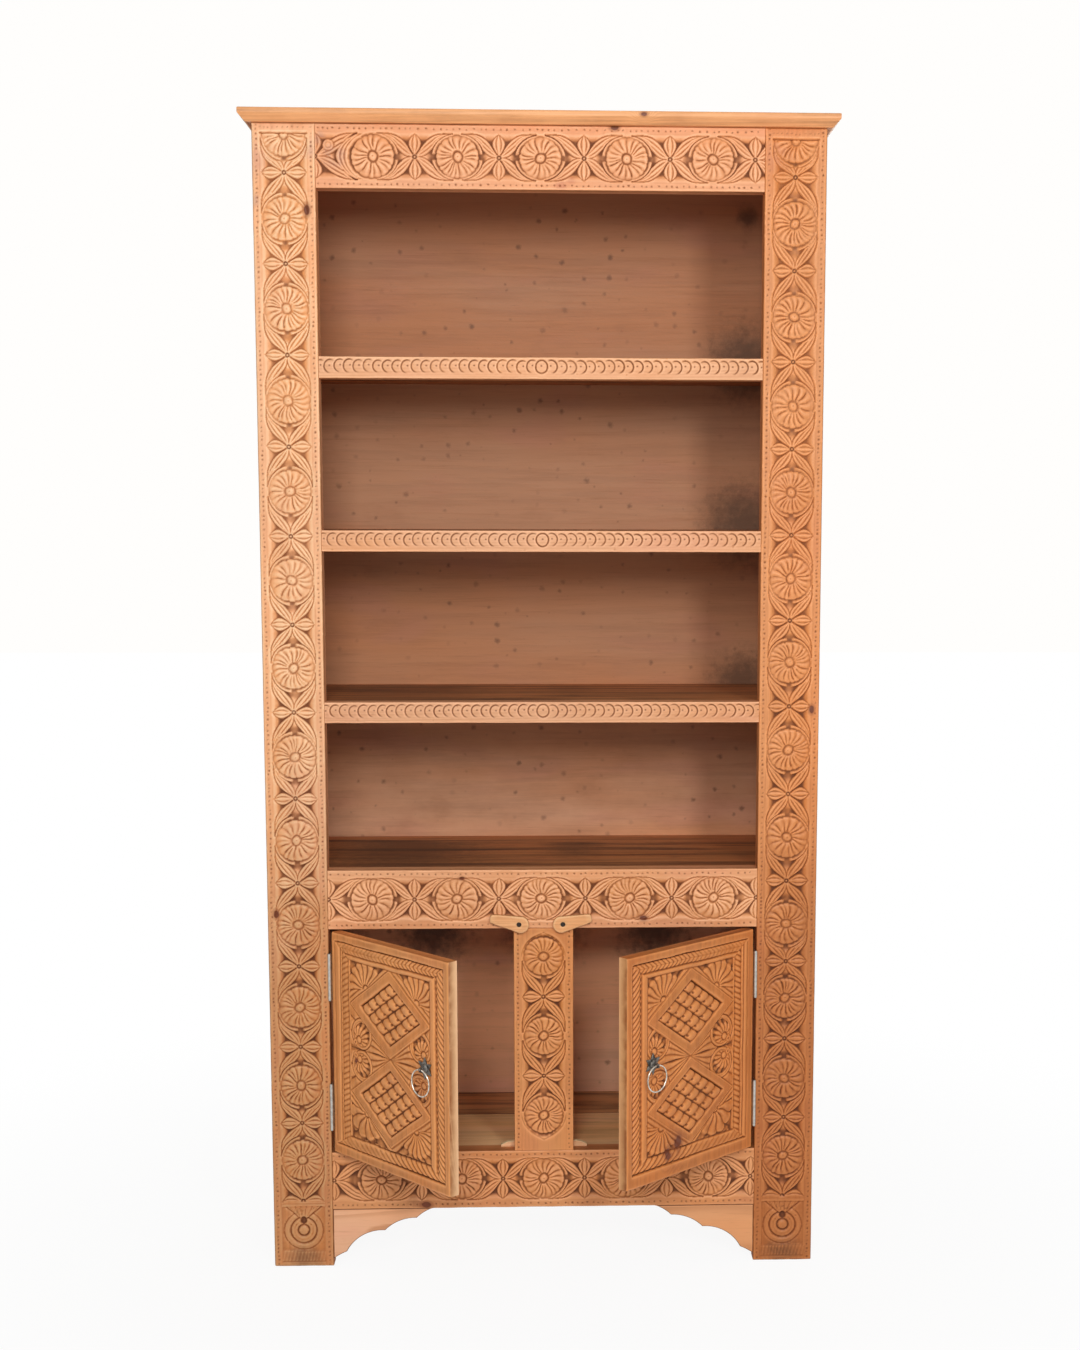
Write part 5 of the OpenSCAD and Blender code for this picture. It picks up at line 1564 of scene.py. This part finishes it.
# the floor is as white as the background, apart from a soft shadow round the piece
n = Nodes("pale_floor")
n.put(n.shader.inputs["Base Color"], linear(243, 242, 240))
n.put(n.shader.inputs["Roughness"], 0.9)
glow = n.add("Emission", {"Color": (1, 1, 1, 1), "Strength": 1.0})
rays = n.add("LightPath").outputs
seen = n.math("MAXIMUM", rays["Is Camera Ray"], rays["Is Glossy Ray"])
share = n.step(n.vector("LENGTH", n.object_place()), 0.5, 1.7, 0.92, 1.0)
mixed = n.add("MixShader", {0: n.times(seen, share), 1: n.shader.outputs[0], 2: glow.outputs[0]})
n.put(n.output.inputs[0], mixed.outputs[0])
far = 14000
floor = new_object("floor", [(-far, -far, 0), (far, -far, 0), (far, far, 0), (-far, far, 0)], [(0, 1, 2, 3)])
coat(floor, n.material)

# the world is white to the camera and in reflections, and dimmer as a light
world = bpy.data.worlds.new("studio")
bpy.context.scene.world = world
world.use_nodes = True
n.tree = world.node_tree
n.tree.nodes.clear()
rays = n.add("LightPath").outputs
seen = n.math("MAXIMUM", rays["Is Camera Ray"], rays["Is Glossy Ray"])
strength = n.add("MapRange", {"Value": seen, "To Min": 0.33, "To Max": 1.0}).outputs[0]
sky = n.add("Background", {"Color": (1.0, 0.99, 0.975, 1), "Strength": strength})
n.add("OutputWorld", {0: sky.outputs[0]})

# soft lamps: their places in metres, the height that they point at, their sizes and their power in watts
for name, place, target_z, size, power in (
    ("key", (-0.25, -3.0, 2.1), 1.1, (0.7, 1.2), 39),
    ("front_fill", (1.1, -3.2, 1.95), 1.1, (0.45, 0.6), 29),
    ("back_fill", (0.8, 3.4, 2.6), 1.0, (2.6, 2.6), 36),
):
    lamp = bpy.data.lights.new(name, "AREA")
    lamp.shape = "RECTANGLE"
    lamp.size, lamp.size_y = size
    lamp.energy, lamp.color = power, (1, 0.98, 0.95)
    thing = link(name, lamp)
    thing.location = place
    thing.rotation_euler = (Vector((0, 0, target_z)) - Vector(place)).to_track_quat("-Z", "Y").to_euler()

# the camera as it was fitted, in radians and in the picture's pixels
YAW, PITCH, ROLL = -0.03923, -0.11936, 0.00236
FOCAL, MIDDLE_X, MIDDLE_Y = 1838.2, 623.6, 737.75
WIDE, TALL, SENSOR = 1080, 1350, 36
camera = bpy.data.cameras.new("camera")
view = link("camera", camera)
bpy.context.scene.camera = view
turns = [Matrix.Rotation(angle, 4, axis) for angle, axis in ((YAW, "Z"), (math.pi / 2 + PITCH, "X"), (ROLL, "Z"))]
view.matrix_world = Matrix.Translation((0.0148, (FRONT_Y - 2967.9) * MM, 1.2456)) @ turns[0] @ turns[1] @ turns[2]
camera.sensor_fit = "VERTICAL"
camera.sensor_height = SENSOR
camera.lens = FOCAL * SENSOR / TALL
camera.shift_x = (WIDE / 2 - MIDDLE_X) / TALL
camera.shift_y = (MIDDLE_Y - TALL / 2) / TALL
camera.clip_end = 60

bpy.context.scene.view_settings.view_transform = "Standard"
